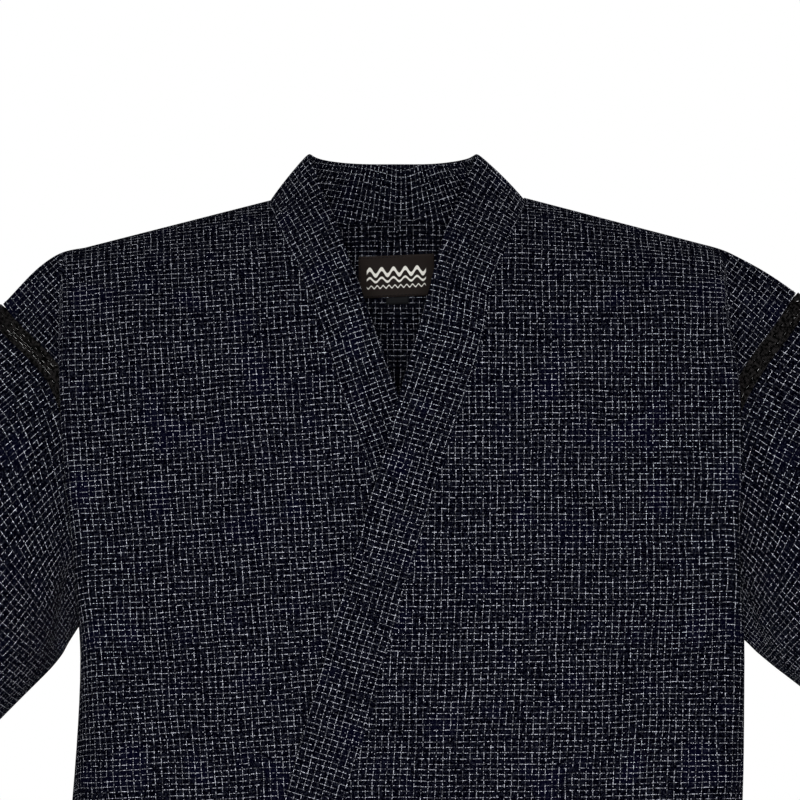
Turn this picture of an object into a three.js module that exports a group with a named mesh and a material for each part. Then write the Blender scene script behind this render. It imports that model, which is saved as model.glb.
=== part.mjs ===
// A men's jinbei, worn: a short-sleeved wrap jacket and its shorts, in thin checked cotton.
// Millimetres, +Z up, front towards -Y, the wearer's left towards +X. The origin is on the ridge of
// the shoulders, at the level where the shoulder line meets the collar. Every piece of cloth is an
// open wall, cut as a maker cuts it, and neighbouring pieces stand 0.3 mm apart at their seams.
import * as THREE from "three";
import { mergeVertices } from "three/addons/utils/BufferGeometryUtils.js";

const clothThick = 1.6; // one layer, with the hem and seam turnings taken in
const bandThick = 3; // collar and ties are doubled
const tieThick = 2;
const laceThick = 1.2;
const labelThick = 0.6;
const seamGap = 0.3;
const halfWidth = 300; // centre back to armhole, laid flat
const backLength = 760; // shoulder ridge to hem
const neckHalf = 94; // half of the neck cut
const neckDepth = 58; // cloth taken out of the back below the ridge
const armholeDepth = 250;
const laceWidth = 12;
const laceStart = 1.9; // the strip begins this far out of the armhole's edge, clear of its corner
const laceMiddle = 6.5;
const sleeveLength = 260;
const collarEnd = -540; // height where the collar ends on the front edge
const tuck = 5.2; // the wearer's right front lies this far under the left front

const vec = (x, y, z) => new THREE.Vector3(x, y, z);
const { lerp, clamp, degToRad } = THREE.MathUtils;
const ease = (t) => THREE.MathUtils.smoothstep(t, 0, 1);

// A table's rows as objects, from its column names and its rows of numbers.
function rowsOf(columns, rows) {
  const names = columns.split(" ");
  return rows.map((row) => Object.fromEntries(names.map((name, i) => [name, row[i]])));
}

// The front, a row for each distance down the cloth from the shoulder ridge. mid is the centre
// line, crease the fold where the front turns back to the armhole, edge the armhole or side seam.
const bodyColumns = "down midY midZ creaseY creaseZ edgeX edgeY edgeZ bend";
const frontRows = rowsOf(bodyColumns, [
  [0, 0, 27, 0, -35, 290, 0, -70, 12],
  [16, -16, 21, -14, -40, 282, -12, -79, 12],
  [35, -31, 9, -26, -51, 271, -22, -92, 12],
  [58, -46, -9, -37, -68, 257, -29, -109, 12],
  [85, -60, -34, -46, -92, 244, -33, -131, 12],
  [115, -72, -66, -52, -120, 234, -33, -159, 12],
  [145, -82, -99, -56, -149, 228, -29, -188, 13],
  [190, -92, -149, -59, -192, 222, -19, -231, 14],
  [250, -99, -215, -61, -249, 216, 0, -285, 16],
  [310, -103, -281, -63, -307, 220, 0, -334, 20],
  [380, -106, -357, -66, -375, 230, 0, -390, 30],
  [470, -110, -453, -74, -461, 241, 0, -468, 46],
  [570, -116, -553, -86, -557, 248, 0, -561, 62],
  [670, -121, -648, -93, -652, 251, 0, -655, 70],
  [760, -124, -733, -96, -737, 253, 0, -741, 72],
]);
// The back, in the same way.
const backRows = rowsOf(bodyColumns, [
  [0, 0, 27, 0, -35, 290, 0, -70, 12],
  [16, 17, 24, 14, -40, 282, 13, -79, 14],
  [35, 35, 16, 27, -51, 272, 24, -92, 16],
  [58, 54, -3, 38, -68, 259, 32, -110, 18],
  [85, 68, -27, 47, -92, 247, 36, -132, 20],
  [115, 78, -57, 54, -120, 238, 36, -160, 22],
  [145, 85, -90, 58, -149, 231, 31, -189, 22],
  [190, 92, -140, 61, -192, 224, 20, -232, 22],
  [250, 97, -208, 62, -249, 216, 0, -285, 22],
  [310, 98, -276, 63, -307, 220, 0, -334, 26],
  [380, 97, -354, 66, -375, 230, 0, -390, 34],
  [470, 99, -452, 74, -461, 241, 0, -468, 48],
  [570, 109, -553, 86, -557, 248, 0, -561, 62],
  [670, 118, -648, 94, -652, 251, 0, -655, 70],
  [760, 123, -733, 98, -737, 253, 0, -741, 72],
]);
// How much higher each side's shoulder lies than those rows, on the flat part and at the edge.
const shoulderRows = rowsOf("down leftFlat leftEdge rightFlat rightEdge", [
  [0, 6, 14, 3.6, 4],
  [16, 5.8, 13, 3.4, 5],
  [35, 5, 9, 2.6, 6.5],
  [58, 3, 4.5, 1.6, 8.5],
  [85, 1, 0.5, 0.6, 12],
  [115, 0, 0, 0, 10],
  [145, 0, 0, 0, 5],
  [190, 0, 0, 0, 0],
]);
const shoulderCrown = { high: 3, fades: 70 }; // the round of the shoulder between the two
// How far out each side's crease stands: the two sides hang a little differently.
const creaseRows = [
  { down: 0, left: 238, right: 243 },
  { down: 60, left: 238, right: 244 },
  { down: 120, left: 245, right: 243 },
  { down: 190, left: 249, right: 241 },
  { down: 250, left: 251, right: 238 },
  { down: 330, left: 258, right: 233 },
  { down: 430, left: 259, right: 236 },
  { down: 570, left: 252, right: 246 },
  { down: 760, left: 250, right: 250 },
];
// The collar on each front: where its seam and its free edge cross each height, outwards from the
// centre line. A minus value is past the centre, on the other side.
const collarRows = [
  { drop: -3, leftSeam: 94, rightSeam: 94 },
  { drop: 25, leftSeam: 81, rightSeam: 81 },
  { drop: 54, leftSeam: 68, rightSeam: 67 },
  { drop: 83, leftSeam: 63, rightSeam: 55.5 },
  { drop: 104, leftSeam: 59, rightSeam: 49 },
  { drop: 140, leftSeam: 47, rightSeam: 37.5 },
  { drop: 187, leftSeam: 31, rightSeam: 21 },
  { drop: 266, leftSeam: 8, rightSeam: -3 },
  { drop: 320, leftSeam: -8, rightSeam: -18 },
  { drop: 540, leftSeam: -70, rightSeam: -77 },
];
const freeEdge = {
  left: { atDrop: 133, across: 2.2, slope: -0.284 },
  right: { atDrop: 133, across: -0.7, slope: -0.288 },
};
const frontEdge = { left: -113.4, right: -117.9 }; // below the collar's end
// The collar round the neck: its free edge where it stands off the cloth.
const backCollar = [
  { turn: 9, freeX: 61.5, freeY: 9, freeZ: 39.5 },
  { turn: 24, freeX: 57, freeY: 27, freeZ: 40 },
  { turn: 44, freeX: 45, freeY: 45, freeZ: 40.5 },
  { turn: 66, freeX: 26, freeY: 56, freeZ: 41 },
  { turn: 90, freeX: 0, freeY: 58, freeZ: 41 },
];
const sideCollar = [
  { drop: -3, freeX: 61.5, freeY: -5, freeZ: 38.5 },
  { drop: 8, freeX: 51.5, freeY: -19, freeZ: 18 },
  { drop: 25, freeX: 40, freeY: -36, freeZ: -5 },
  { drop: 40, freeX: 34, freeY: -48, freeZ: -22 },
  { drop: 56, freeX: 27, freeY: -58, freeZ: -43 },
];
const bandTilt = 12; // the band's free edge stands this much higher than its seam
// Distances down the cloth where the rows of the front and of the back lie.
const frontDowns = [0, 14, 28, 42, 56, 70, 86, 106, 130, 160, 190, 220, 250, 285, 330, 380, 430, 500];
const hemDowns = [630, 700, 760];
const neckTurns = [9, 24, 44, 66, 90];
const backDowns = [70, 84, 102, 120, 127, 145, 170, 195, 222, 250, 285, 330, 380, 450, 530, 610, 690, 760];
// Soft drape folds of the body below the chest: outwards from the centre, how wide and how deep.
const drapeFolds = [
  { side: "left", face: -1, across: 172, wide: 30, deep: 5, from: 330 },
  { side: "left", face: -1, across: 60, wide: 42, deep: -3, from: 420 },
  { side: "right", face: -1, across: 186, wide: 26, deep: 6, from: 300 },
  { side: "right", face: -1, across: 150, wide: 36, deep: 4, from: 480 },
  { side: "left", face: 1, across: 168, wide: 34, deep: 7, from: 240 },
  { side: "left", face: 1, across: 78, wide: 40, deep: 5, from: 420 },
  { side: "right", face: 1, across: 158, wide: 36, deep: 7, from: 260 },
  { side: "right", face: 1, across: 62, wide: 36, deep: 5, from: 460 },
];
const chestCurve = 2.6; // how late the chest turns away between the centre and the crease

// The even ring that the armhole's edge grows into: its centre, its half length and half depth at
// the top and at the cuff, and how far along the sleeve it is reached.
const sleeveRing = { x: 250, z: -178, topLong: 113, cuffLong: 107, topDeep: 37, cuffDeep: 47, from: 130 };

const sides = {
  left: { name: "left", sign: 1, sleeveAngle: 35, sleeveBend: 7 },
  right: { name: "right", sign: -1, sleeveAngle: 43, sleeveBend: 6 },
};

// A smooth value from one column of a table whose rows rise by the key column.
function column(table, key, name, at) {
  const last = table.length - 1;
  let i = 0;
  while (i < last - 1 && at > table[i + 1][key]) i++;
  const slope = (j) => {
    const before = table[Math.max(j - 1, 0)];
    const after = table[Math.min(j + 1, last)];
    return (after[name] - before[name]) / (after[key] - before[key]);
  };
  const a = table[i];
  const b = table[i + 1];
  const span = b[key] - a[key];
  const t = clamp((at - a[key]) / span, 0, 1);
  const start = (2 * t ** 3 - 3 * t ** 2 + 1) * a[name];
  const end = (3 * t ** 2 - 2 * t ** 3) * b[name];
  const leave = (t ** 3 - 2 * t ** 2 + t) * span * slope(i);
  const arrive = (t ** 3 - t ** 2) * span * slope(i + 1);
  return start + end + leave + arrive;
}

function seamAcross(side, z) {
  return column(collarRows, "drop", side.name + "Seam", -z);
}

function freeAcross(side, z) {
  const line = freeEdge[side.name];
  return line.across + line.slope * (-z - line.atDrop);
}

// How far the wearer's right front is pushed back where the left front lies over it.
function tuckAt(side, across, z) {
  if (side.name === "left") return 0;
  const cover = Math.max(freeAcross(sides.left, z), frontEdge.left);
  return tuck * ease((-across - (cover - 64)) / 60);
}

function drapeAt(side, face, across, down) {
  let depth = 0;
  for (const fold of drapeFolds) {
    if (fold.side !== side.name || fold.face !== face) continue;
    const bell = Math.exp(-(((across - fold.across) / fold.wide) ** 2));
    depth += fold.deep * bell * ease((down - fold.from) / 220);
  }
  return depth;
}

function shoulderLift(side, across, down, bendStart) {
  const flat = column(shoulderRows, "down", side.name + "Flat", down);
  const edge = column(shoulderRows, "down", side.name + "Edge", down);
  const turn = clamp((across - bendStart) / (halfWidth - bendStart), 0, 1);
  const crown = shoulderCrown.high * Math.sin(Math.PI * turn) * (1 - ease(down / shoulderCrown.fades));
  return lerp(flat, edge, ease(turn)) + crown;
}

// A point of the body cloth. across runs from the centre line to halfWidth at the armhole and side
// seam, down runs from the shoulder ridge, and face is -1 on the front and 1 on the back.
function bodyPoint(side, face, across, down) {
  const table = face < 0 ? frontRows : backRows;
  const at = (name) => column(table, "down", name, down);
  const creaseX = column(creaseRows, "down", side.name, down);
  const bend = at("bend");
  const flat = (x) => {
    const share = Math.abs(x) / creaseX;
    const y = lerp(at("midY"), at("creaseY"), share ** chestCurve);
    const z = lerp(at("midZ"), at("creaseZ"), share);
    const push = face < 0 ? tuckAt(side, x, z) : 0;
    return vec(x, y + push - face * drapeAt(side, face, x, down), z);
  };
  const bendStart = creaseX - bend;
  let point;
  if (across <= bendStart) {
    point = flat(across);
  } else {
    const a = flat(bendStart);
    const corner = vec(creaseX, at("creaseY"), at("creaseZ"));
    const edge = vec(at("edgeX"), at("edgeY") + face * seamGap * 0.5, at("edgeZ"));
    const turn = edge.clone().sub(corner);
    const c = corner.clone().addScaledVector(turn, Math.min(bend / turn.length(), 0.8));
    const bendLength = 0.5 * (a.distanceTo(c) + a.distanceTo(corner) + corner.distanceTo(c));
    const restLength = c.distanceTo(edge);
    const path = ((across - bendStart) / (halfWidth - bendStart)) * (bendLength + restLength);
    if (path < bendLength) {
      point = new THREE.QuadraticBezierCurve3(a, corner, c).getPoint(path / bendLength);
    } else {
      point = c.lerp(edge, (path - bendLength) / restLength);
    }
  }
  return vec(point.x * side.sign, point.y, point.z + shoulderLift(side, across, down, bendStart));
}

// The outward normal of a surface given by a function of two values.
function normalOf(surface, u, v, flip) {
  const step = 0.5;
  const du = surface(u + step, v).sub(surface(u - step, v));
  const dv = surface(u, v + step).sub(surface(u, v - step));
  return du.cross(dv).normalize().multiplyScalar(flip);
}

function bodyNormal(side, face, across, down) {
  const u = Math.min(across, halfWidth - 0.6);
  const v = Math.max(down, 0.6);
  return normalOf((a, d) => bodyPoint(side, face, a, d), u, v, face * side.sign);
}

// How far down the cloth a height lies, found by halving.
function downAt(side, face, across, z) {
  let low = 0;
  let high = backLength;
  while (high - low > 1e-6) {
    const mid = (low + high) / 2;
    if (bodyPoint(side, face, across, mid).z > z) low = mid;
    else high = mid;
  }
  return low;
}

// A point at a height, lifted off the cloth.
function clothAt(side, face, across, z, lift) {
  const down = downAt(side, face, across, z);
  const normal = bodyNormal(side, face, Math.max(across, 1), down);
  return bodyPoint(side, face, across, down).addScaledVector(normal, lift);
}

function frontAt(side, across, z, lift) {
  const down = downAt(side, -1, across, z);
  return bodyPoint(side, -1, across, down).addScaledVector(bodyNormal(side, -1, across, down), lift);
}

// A closed wall from a grid of points and the normals at them. Both faces lie half the thickness
// from the grid. A wrapped grid closes on itself along each row.
function wall(points, normals, thick, wrapped = false) {
  const rows = points.length;
  const cols = points[0].length;
  const place = [];
  for (const offset of [thick / 2, -thick / 2]) {
    points.forEach((row, r) =>
      row.forEach((p, c) => place.push(...p.clone().addScaledVector(normals[r][c], offset))));
  }
  const at = (layer, r, c) => (layer * rows + r) * cols + (c % cols);
  const index = [];
  const quad = (a, b, c, d) => index.push(a, b, c, a, c, d);
  const spans = wrapped ? cols : cols - 1;
  for (let r = 0; r < rows - 1; r++) {
    for (let c = 0; c < spans; c++) {
      quad(at(0, r, c), at(0, r + 1, c), at(0, r + 1, c + 1), at(0, r, c + 1));
      quad(at(1, r, c), at(1, r, c + 1), at(1, r + 1, c + 1), at(1, r + 1, c));
    }
  }
  for (let c = 0; c < spans; c++) {
    quad(at(0, 0, c), at(0, 0, c + 1), at(1, 0, c + 1), at(1, 0, c));
    quad(at(0, rows - 1, c), at(1, rows - 1, c), at(1, rows - 1, c + 1), at(0, rows - 1, c + 1));
  }
  for (let r = 0; r < rows - 1 && !wrapped; r++) {
    quad(at(0, r, 0), at(1, r, 0), at(1, r + 1, 0), at(0, r + 1, 0));
    quad(at(0, r, cols - 1), at(0, r + 1, cols - 1), at(1, r + 1, cols - 1), at(1, r, cols - 1));
  }
  const geometry = new THREE.BufferGeometry();
  geometry.setAttribute("position", new THREE.Float32BufferAttribute(place, 3));
  geometry.setIndex(index);
  return outward(geometry);
}

// Turns a closed shape round if its faces point inwards.
function outward(geometry) {
  const p = geometry.getAttribute("position");
  const index = geometry.getIndex();
  const corner = (i) => vec(p.getX(index.getX(i)), p.getY(index.getX(i)), p.getZ(index.getX(i)));
  let volume = 0;
  for (let i = 0; i < index.count; i += 3) {
    volume += corner(i).dot(corner(i + 1).cross(corner(i + 2)));
  }
  for (let i = 0; i < index.count && volume < 0; i += 3) {
    const second = index.getX(i + 1);
    index.setX(i + 1, index.getX(i + 2));
    index.setX(i + 2, second);
  }
  geometry.computeVertexNormals();
  return geometry;
}

const range = (count, from, to) =>
  Array.from({ length: count + 1 }, (_, i) => from + ((to - from) * i) / count);

// Where the collar's seam crosses a row of the front.
function seamOnRow(side, down) {
  let across = neckHalf;
  for (let i = 0; i < 12; i++) across = seamAcross(side, bodyPoint(side, -1, across, down).z);
  return across;
}

// How far down the cloth the collar ends.
function collarEndDown(side) {
  return downAt(side, -1, seamAcross(side, collarEnd), collarEnd);
}

// The stations of half the collar, from the centre back to its end on the front. Each holds its
// seam, its free edge, the body's normal at the seam and the normal of the mitre between the two.
function collarStations(side) {
  const stations = [];
  for (const turn of [...neckTurns].reverse()) {
    const across = neckHalf * Math.cos(degToRad(turn));
    const down = neckDepth * Math.sin(degToRad(turn));
    const at = (name) => column(backCollar, "turn", name, turn);
    const free = vec(at("freeX") * side.sign, at("freeY"), at("freeZ"));
    const onBody = bodyNormal(side, 1, Math.max(across, 1), down);
    stations.push({ seam: bodyPoint(side, 1, across, down), free, onBody });
  }
  for (const down of [...frontDowns, collarEndDown(side) - 1.5 * seamGap]) {
    const across = seamOnRow(side, down);
    const seam = bodyPoint(side, -1, across, down);
    const at = (name) => column(sideCollar, "drop", name, -seam.z);
    let free = vec(at("freeX") * side.sign, at("freeY"), at("freeZ"));
    if (-seam.z > sideCollar.at(-1).drop) {
      const squareEnd = seam.z < collarEnd + 3;
      const height = seam.z + (squareEnd ? 0 : bandTilt);
      free = frontAt(side, freeAcross(side, height), height, 0);
    }
    stations.push({ seam, free, onBody: bodyNormal(side, -1, across, down) });
  }
  stations.forEach((s, i) => {
    const before = stations[Math.max(i - 1, 0)];
    const after = stations[Math.min(i + 1, stations.length - 1)];
    const along = after.seam.clone().sub(before.seam);
    const onBand = along.cross(s.free.clone().sub(s.seam)).normalize();
    if (onBand.dot(s.onBody) < 0) onBand.negate();
    s.onBand = onBand;
    s.mitre = onBand.clone().add(s.onBody).normalize();
    if (i === 0) s.mitre.setX(0).normalize();
  });
  return stations;
}

// Where a row of the body has its points, on the flat part and round the crease.
const acrossShares = [0, 0.1, 0.22, 0.36, 0.5, 0.64, 0.78, 0.9, 1];
const turnShares = [0.1, 0.2, 0.32, 0.6, 1];

// One row of the body cloth, from its inner edge to the armhole or side seam.
function bodyRow(side, face, down, inner, innerNormal) {
  const creaseX = column(creaseRows, "down", side.name, down);
  const bend = column(face < 0 ? frontRows : backRows, "down", "bend", down);
  const stations = acrossShares.map((s) => lerp(inner, creaseX - bend, s));
  turnShares.forEach((s) => stations.push(lerp(creaseX - bend, halfWidth, s)));
  const normals = stations.map((a) => bodyNormal(side, face, a, down));
  if (innerNormal) normals[0] = innerNormal;
  const last = normals.length - 1;
  if (down < armholeDepth) {
    normals[last] = armholeMitre(side, armholeShare(face, down));
  } else {
    normals[last].y = 0;
    normals[last].normalize();
  }
  return { points: stations.map((a) => bodyPoint(side, face, a, down)), normals };
}

// The whole half of the body in one piece, from the front hem over the shoulder to the back hem.
function bodyHalf(side) {
  const stations = collarStations(side);
  const neck = neckTurns.length;
  const end = collarEndDown(side);
  const rows = hemDowns.map((down) => bodyRow(side, -1, down, frontEdge[side.name])).reverse();
  rows.push(bodyRow(side, -1, end + 1.5 * seamGap, frontEdge[side.name]));
  [...frontDowns, end].reverse().forEach((down, i) => {
    const station = stations[stations.length - 1 - i];
    rows.push(bodyRow(side, -1, down, seamOnRow(side, down), station.mitre));
  });
  neckTurns.forEach((turn, i) => {
    const across = Math.max(neckHalf * Math.cos(degToRad(turn)), seamGap / 2);
    const down = neckDepth * Math.sin(degToRad(turn));
    rows.push(bodyRow(side, 1, down, across, stations[neck - 1 - i].mitre));
  });
  backDowns.forEach((down) => {
    const onSeam = bodyNormal(side, 1, 1, down);
    onSeam.x = 0;
    rows.push(bodyRow(side, 1, down, seamGap / 2, onSeam.normalize()));
  });
  return wall(rows.map((row) => row.points), rows.map((row) => row.normals), clothThick);
}

function collar() {
  const left = collarStations(sides.left);
  const right = collarStations(sides.right).slice(1).reverse();
  const stations = [...right, ...left];
  const shares = [0, 0.5, 1];
  const points = stations.map(({ seam, free }) => {
    const start = seam.clone().addScaledVector(free.clone().sub(seam).normalize(), 2 * seamGap);
    return shares.map((s) => start.clone().lerp(free, s));
  });
  const normals = stations.map(({ onBand, mitre }) => [mitre, onBand, onBand]);
  return wall(points, normals, bandThick);
}

// Normals of a grid from its own neighbours.
function gridNormals(points, wrapped = false) {
  const cols = points[0].length;
  return points.map((row, r) =>
    row.map((_, c) => {
      const above = points[Math.max(r - 1, 0)][c];
      const below = points[Math.min(r + 1, points.length - 1)][c];
      const before = wrapped ? row[(c + cols - 1) % cols] : row[Math.max(c - 1, 0)];
      const after = wrapped ? row[(c + 1) % cols] : row[Math.min(c + 1, cols - 1)];
      return below.clone().sub(above).cross(after.clone().sub(before)).normalize();
    }));
}

function armholeShare(face, down) {
  const share = down / (2 * armholeDepth);
  return face < 0 ? share : 1 - share;
}

// Stations round the armhole, on the rows of the body.
function armholeShares() {
  const neckRows = neckTurns.map((turn) => neckDepth * Math.sin(degToRad(turn)));
  const front = frontDowns.filter((down) => down <= armholeDepth);
  const back = [...neckRows, ...backDowns].filter((down) => down < armholeDepth).reverse();
  return [...front.map((down) => armholeShare(-1, down)), ...back.map((down) => armholeShare(1, down))];
}

function sleeveNormal(side, share, along) {
  const round = 2 * armholeDepth;
  return normalOf((s, a) => sleevePoint(side, s / round, a), share * round, along, side.sign);
}

// Halfway between the body's and the sleeve's normals, so that their edges meet on a mitre.
function armholeMitre(side, share) {
  const face = share <= 0.5 ? -1 : 1;
  const down = (share <= 0.5 ? share : 1 - share) * 2 * armholeDepth;
  const body = bodyNormal(side, face, halfWidth, down);
  if (share === 0) body.y = 0;
  return body.normalize().add(sleeveNormal(side, share, 2)).normalize();
}

// The armhole's edge, by its share of the way round: top, front, underarm, back.
function armhole(side, share) {
  const round = share - Math.floor(share);
  const face = round <= 0.5 ? -1 : 1;
  const down = (round <= 0.5 ? round : 1 - round) * 2 * armholeDepth;
  return bodyPoint(side, face, halfWidth, down);
}

// The sleeve cloth, lace strip included: a tube that grows out of the armhole into an even ring.
function sleevePoint(side, share, along) {
  const turned = side.sleeveAngle + (side.sleeveBend * along) / sleeveLength;
  const mean = degToRad((side.sleeveAngle + turned) / 2);
  const angle = degToRad(turned);
  const outX = along * Math.cos(mean);
  const outZ = -along * Math.sin(mean);
  const centre = vec((sleeveRing.x + outX) * side.sign, 0, sleeveRing.z + outZ);
  const up = vec(Math.sin(angle) * side.sign, 0, Math.cos(angle));
  const halfLong = lerp(sleeveRing.topLong, sleeveRing.cuffLong, along / sleeveLength);
  const halfDeep = lerp(sleeveRing.topDeep, sleeveRing.cuffDeep, ease(along / sleeveLength));
  const round = 2 * Math.PI * share;
  const ring = centre.addScaledVector(up, halfLong * Math.cos(round));
  ring.y -= halfDeep * Math.sin(round);
  const start = armhole(side, share);
  start.x += outX * side.sign;
  start.z += outZ;
  return start.lerp(ring, ease(along / sleeveRing.from));
}

function sleeveWall(side, alongs, thick) {
  const shares = armholeShares();
  const points = alongs.map((along) => shares.map((share) => sleevePoint(side, share, along)));
  const normals = alongs.map((along) => shares.map((share) =>
    (along < laceWidth / 2 ? armholeMitre(side, share) : sleeveNormal(side, share, along))));
  return wall(points, normals, thick, true);
}

// Shorts. Rows by height: the ring of one leg, whose centre moves out below the crotch.
const legRows = [
  { drop: 455, centre: 0, wide: 166, deep: 88 },
  { drop: 520, centre: 0, wide: 182, deep: 94 },
  { drop: 590, centre: 0, wide: 198, deep: 107.5 },
  { drop: 635, centre: 22, wide: 179, deep: 111.5 },
  { drop: 668, centre: 56, wide: 148, deep: 108 },
  { drop: 694, centre: 88, wide: 119, deep: 107 },
  { drop: 712, centre: 107, wide: 106.7, deep: 104 },
  { drop: 740, centre: 111, wide: 105, deep: 101 },
  { drop: 800, centre: 116, wide: 105, deep: 96 },
  { drop: 900, centre: 121, wide: 107, deep: 90 },
  { drop: 1010, centre: 127, wide: 110, deep: 86 },
];
const crotch = 712; // below it each leg closes on itself
const waist = { top: 425, seam: 455, wide: 166, deep: 88, narrows: 0.12 };
const gathers = { count: 20, deep: 2.2, fade: 70 };

function legPoint(side, share, drop) {
  const at = (name) => column(legRows, "drop", name, drop);
  const centre = at("centre");
  const wide = at("wide");
  const reach = Math.acos(clamp(-centre / wide, -1, 1));
  const angle = lerp(-reach, reach, share);
  const fade = 1 - ease((drop - waist.seam) / gathers.fade);
  const ruffle = gathers.deep * fade * Math.cos(angle * gathers.count);
  const x = Math.max(centre + (wide + ruffle) * Math.cos(angle), seamGap / 2);
  return vec(x * side.sign, (at("deep") + ruffle) * Math.sin(angle), -drop);
}

function leg(side) {
  const drops = [waist.seam, 480, 525, 590, 635, 660, 680, 696, crotch, 740, 800, 900, 1010];
  const shares = range(gathers.count, 0, 1);
  const points = drops.map((drop) => shares.map((share) => legPoint(side, share, drop)));
  const normals = gridNormals(points);
  points.forEach((row, r) => {
    for (const c of [0, row.length - 1]) {
      if (drops[r] <= crotch) {
        normals[r][c].x = 0;
      } else {
        normals[r][c].y = 0;
        row[c].y += (c ? 1 : -1) * seamGap * 0.5;
      }
      normals[r][c].normalize();
    }
  });
  return wall(points, normals, clothThick);
}

function waistband() {
  const drops = [waist.seam - 2 * seamGap, waist.top];
  const points = drops.map((drop) => range(2 * gathers.count, 0, 1).slice(0, -1).map((share) => {
    const angle = 2 * Math.PI * share;
    const grow = gathers.deep * Math.cos(angle * gathers.count) - (waist.seam - drop) * waist.narrows;
    return vec((waist.wide + grow) * Math.cos(angle), (waist.deep + grow) * Math.sin(angle), -drop);
  }));
  return wall(points, gridNormals(points, true), bandThick, true);
}

// The woven label and the small size tab, sewn inside the back. The wearer's left end is higher.
const labelPlace = { fromX: -29.5, toX: 28, heights: [-30, -38, -46, -54, -61.3] };
const tabPlace = { fromX: -8.6, toX: 8.6, heights: [-61.8, -67.2] };
const labelTilt = 0.05;
const labelLift = clothThick / 2 + labelThick / 2 + 2 * seamGap;

function backPatch({ fromX, toX, heights }) {
  const points = heights.map((z) => range(6, fromX, toX).map((x) => {
    const side = x < 0 ? sides.right : sides.left;
    return clothAt(side, 1, Math.abs(x), z + labelTilt * x, -labelLift);
  }));
  return wall(points, gridNormals(points), labelThick);
}

// The outer ties, in a bow on the wearer's right hip. Each is a doubled strip, its path given from
// the knot: right, up and out of the cloth, with the strip's width and how far it is turned.
const tieWide = 22;
const knotAcross = 160;
const knotHeight = -553;
const knotLift = 7.5;
const tiePaths = {
  tie_loop_front: [
    { right: 6.8, up: 1, out: 3.2, wide: 9 },
    { right: 24, up: 2, out: 6, wide: 18 },
    { right: 44, up: 0, out: 7, wide: 22 },
    { right: 58, up: -5, out: 4.5, wide: 22 },
    { right: 61, up: -7, out: 0.5, wide: 22 },
    { right: 56, up: -7, out: -1.4, wide: 22 },
    { right: 42, up: -4, out: -1.4, wide: 21 },
    { right: 24, up: -2, out: -0.9, wide: 16 },
    { right: 8, up: -1, out: -0.9, wide: 8 },
  ],
  tie_loop_side: [
    { right: -6.8, up: 1, out: 3.2, wide: 9 },
    { right: -22, up: 1, out: 6.5, wide: 18 },
    { right: -41, up: -3, out: 7, wide: 22 },
    { right: -54, up: -9, out: 4, wide: 22 },
    { right: -57, up: -11, out: 0.2, wide: 22 },
    { right: -52, up: -10, out: -1.2, wide: 22 },
    { right: -38, up: -6, out: -1.2, wide: 20 },
    { right: -22, up: -3, out: -0.9, wide: 15 },
    { right: -8, up: -1, out: -0.9, wide: 8 },
  ],
  tie_end_front: [
    { right: 5.2, up: -9.9, out: 1, wide: 8, turn: 78 },
    { right: 10, up: -24, out: 0.5, wide: 15, turn: 76 },
    { right: 14, up: -52, out: -2, wide: 21, turn: 80 },
    { right: 18, up: -84, out: -2.4, wide: 22, turn: 84 },
    { right: 20, up: -116, out: -2.2, wide: 22, turn: 86 },
  ],
  tie_end_side: [
    { right: -5.2, up: -10, out: 1.4, wide: 8, turn: 104 },
    { right: -11, up: -24, out: 1, wide: 15, turn: 106 },
    { right: -19, up: -50, out: -1, wide: 21, turn: 104 },
    { right: -26, up: -80, out: -1.6, wide: 22, turn: 100 },
    { right: -30, up: -104, out: -1.4, wide: 22, turn: 98 },
  ],
};

function knotFrame() {
  const centre = frontAt(sides.right, knotAcross, knotHeight, knotLift);
  const base = frontAt(sides.right, knotAcross, knotHeight, 0);
  const out = centre.clone().sub(base).normalize();
  const up = vec(0, 0, 1).addScaledVector(out, -out.z).normalize();
  return { centre, out, up, right: up.clone().cross(out) };
}

// A doubled strip along a path, its two edges square to the path or turned by the row's angle.
function tieStrip(rows) {
  const { centre, out, up, right } = knotFrame();
  const points = rows.map((row) => {
    const middle = centre.clone().addScaledVector(right, row.right).addScaledVector(up, row.up);
    middle.addScaledVector(out, row.out);
    const turn = degToRad((row.turn ?? 0) + 90);
    const edge = right.clone().multiplyScalar(Math.cos(turn)).addScaledVector(up, Math.sin(turn));
    return [-0.5, 0, 0.5].map((s) => middle.clone().addScaledVector(edge, s * row.wide));
  });
  return wall(points, gridNormals(points), tieThick);
}

// A strip that lies on the front cloth, from one place across to another.
function tieStrap(rows) {
  const points = rows.map(({ side, across, z, wide, lift }) =>
    [-0.5, 0, 0.5].map((s) => frontAt(sides[side], across, z + s * wide, lift)));
  return wall(points, gridNormals(points), tieThick);
}

// The two straps, from the left front's edge and from the wearer's right side seam to the knot.
const frontStrap = [
  { side: "left", across: -114.2, z: -552.5, wide: tieWide, lift: 0 },
  { side: "right", across: 124, z: -552.5, wide: 21, lift: 4.6 },
  { side: "right", across: 138, z: -553, wide: 16, lift: 3.6 },
  { side: "right", across: 153.4, z: -553, wide: 9, lift: 3.6 },
];
const strap = { knotWide: 9, spreads: 50, rise: 0.05, lift: 3.6 };
const strapEnd = { lift: 1.8, from: 270, run: 24 }; // it lies closer to the cloth at the side seam
const sideStrap = [294, 280, 268, 256, 244, 232, 220, 205, 184, 166.6].map((across) => ({
  side: "right",
  across,
  z: knotHeight + (across - knotAcross) * strap.rise,
  wide: lerp(strap.knotWide, tieWide, ease((across - knotAcross) / strap.spreads)),
  lift: lerp(strap.lift, strapEnd.lift, ease((across - strapEnd.from) / strapEnd.run)),
}));
const knotSize = [7.4, 9, 6.2]; // half of its width, height and depth

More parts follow.
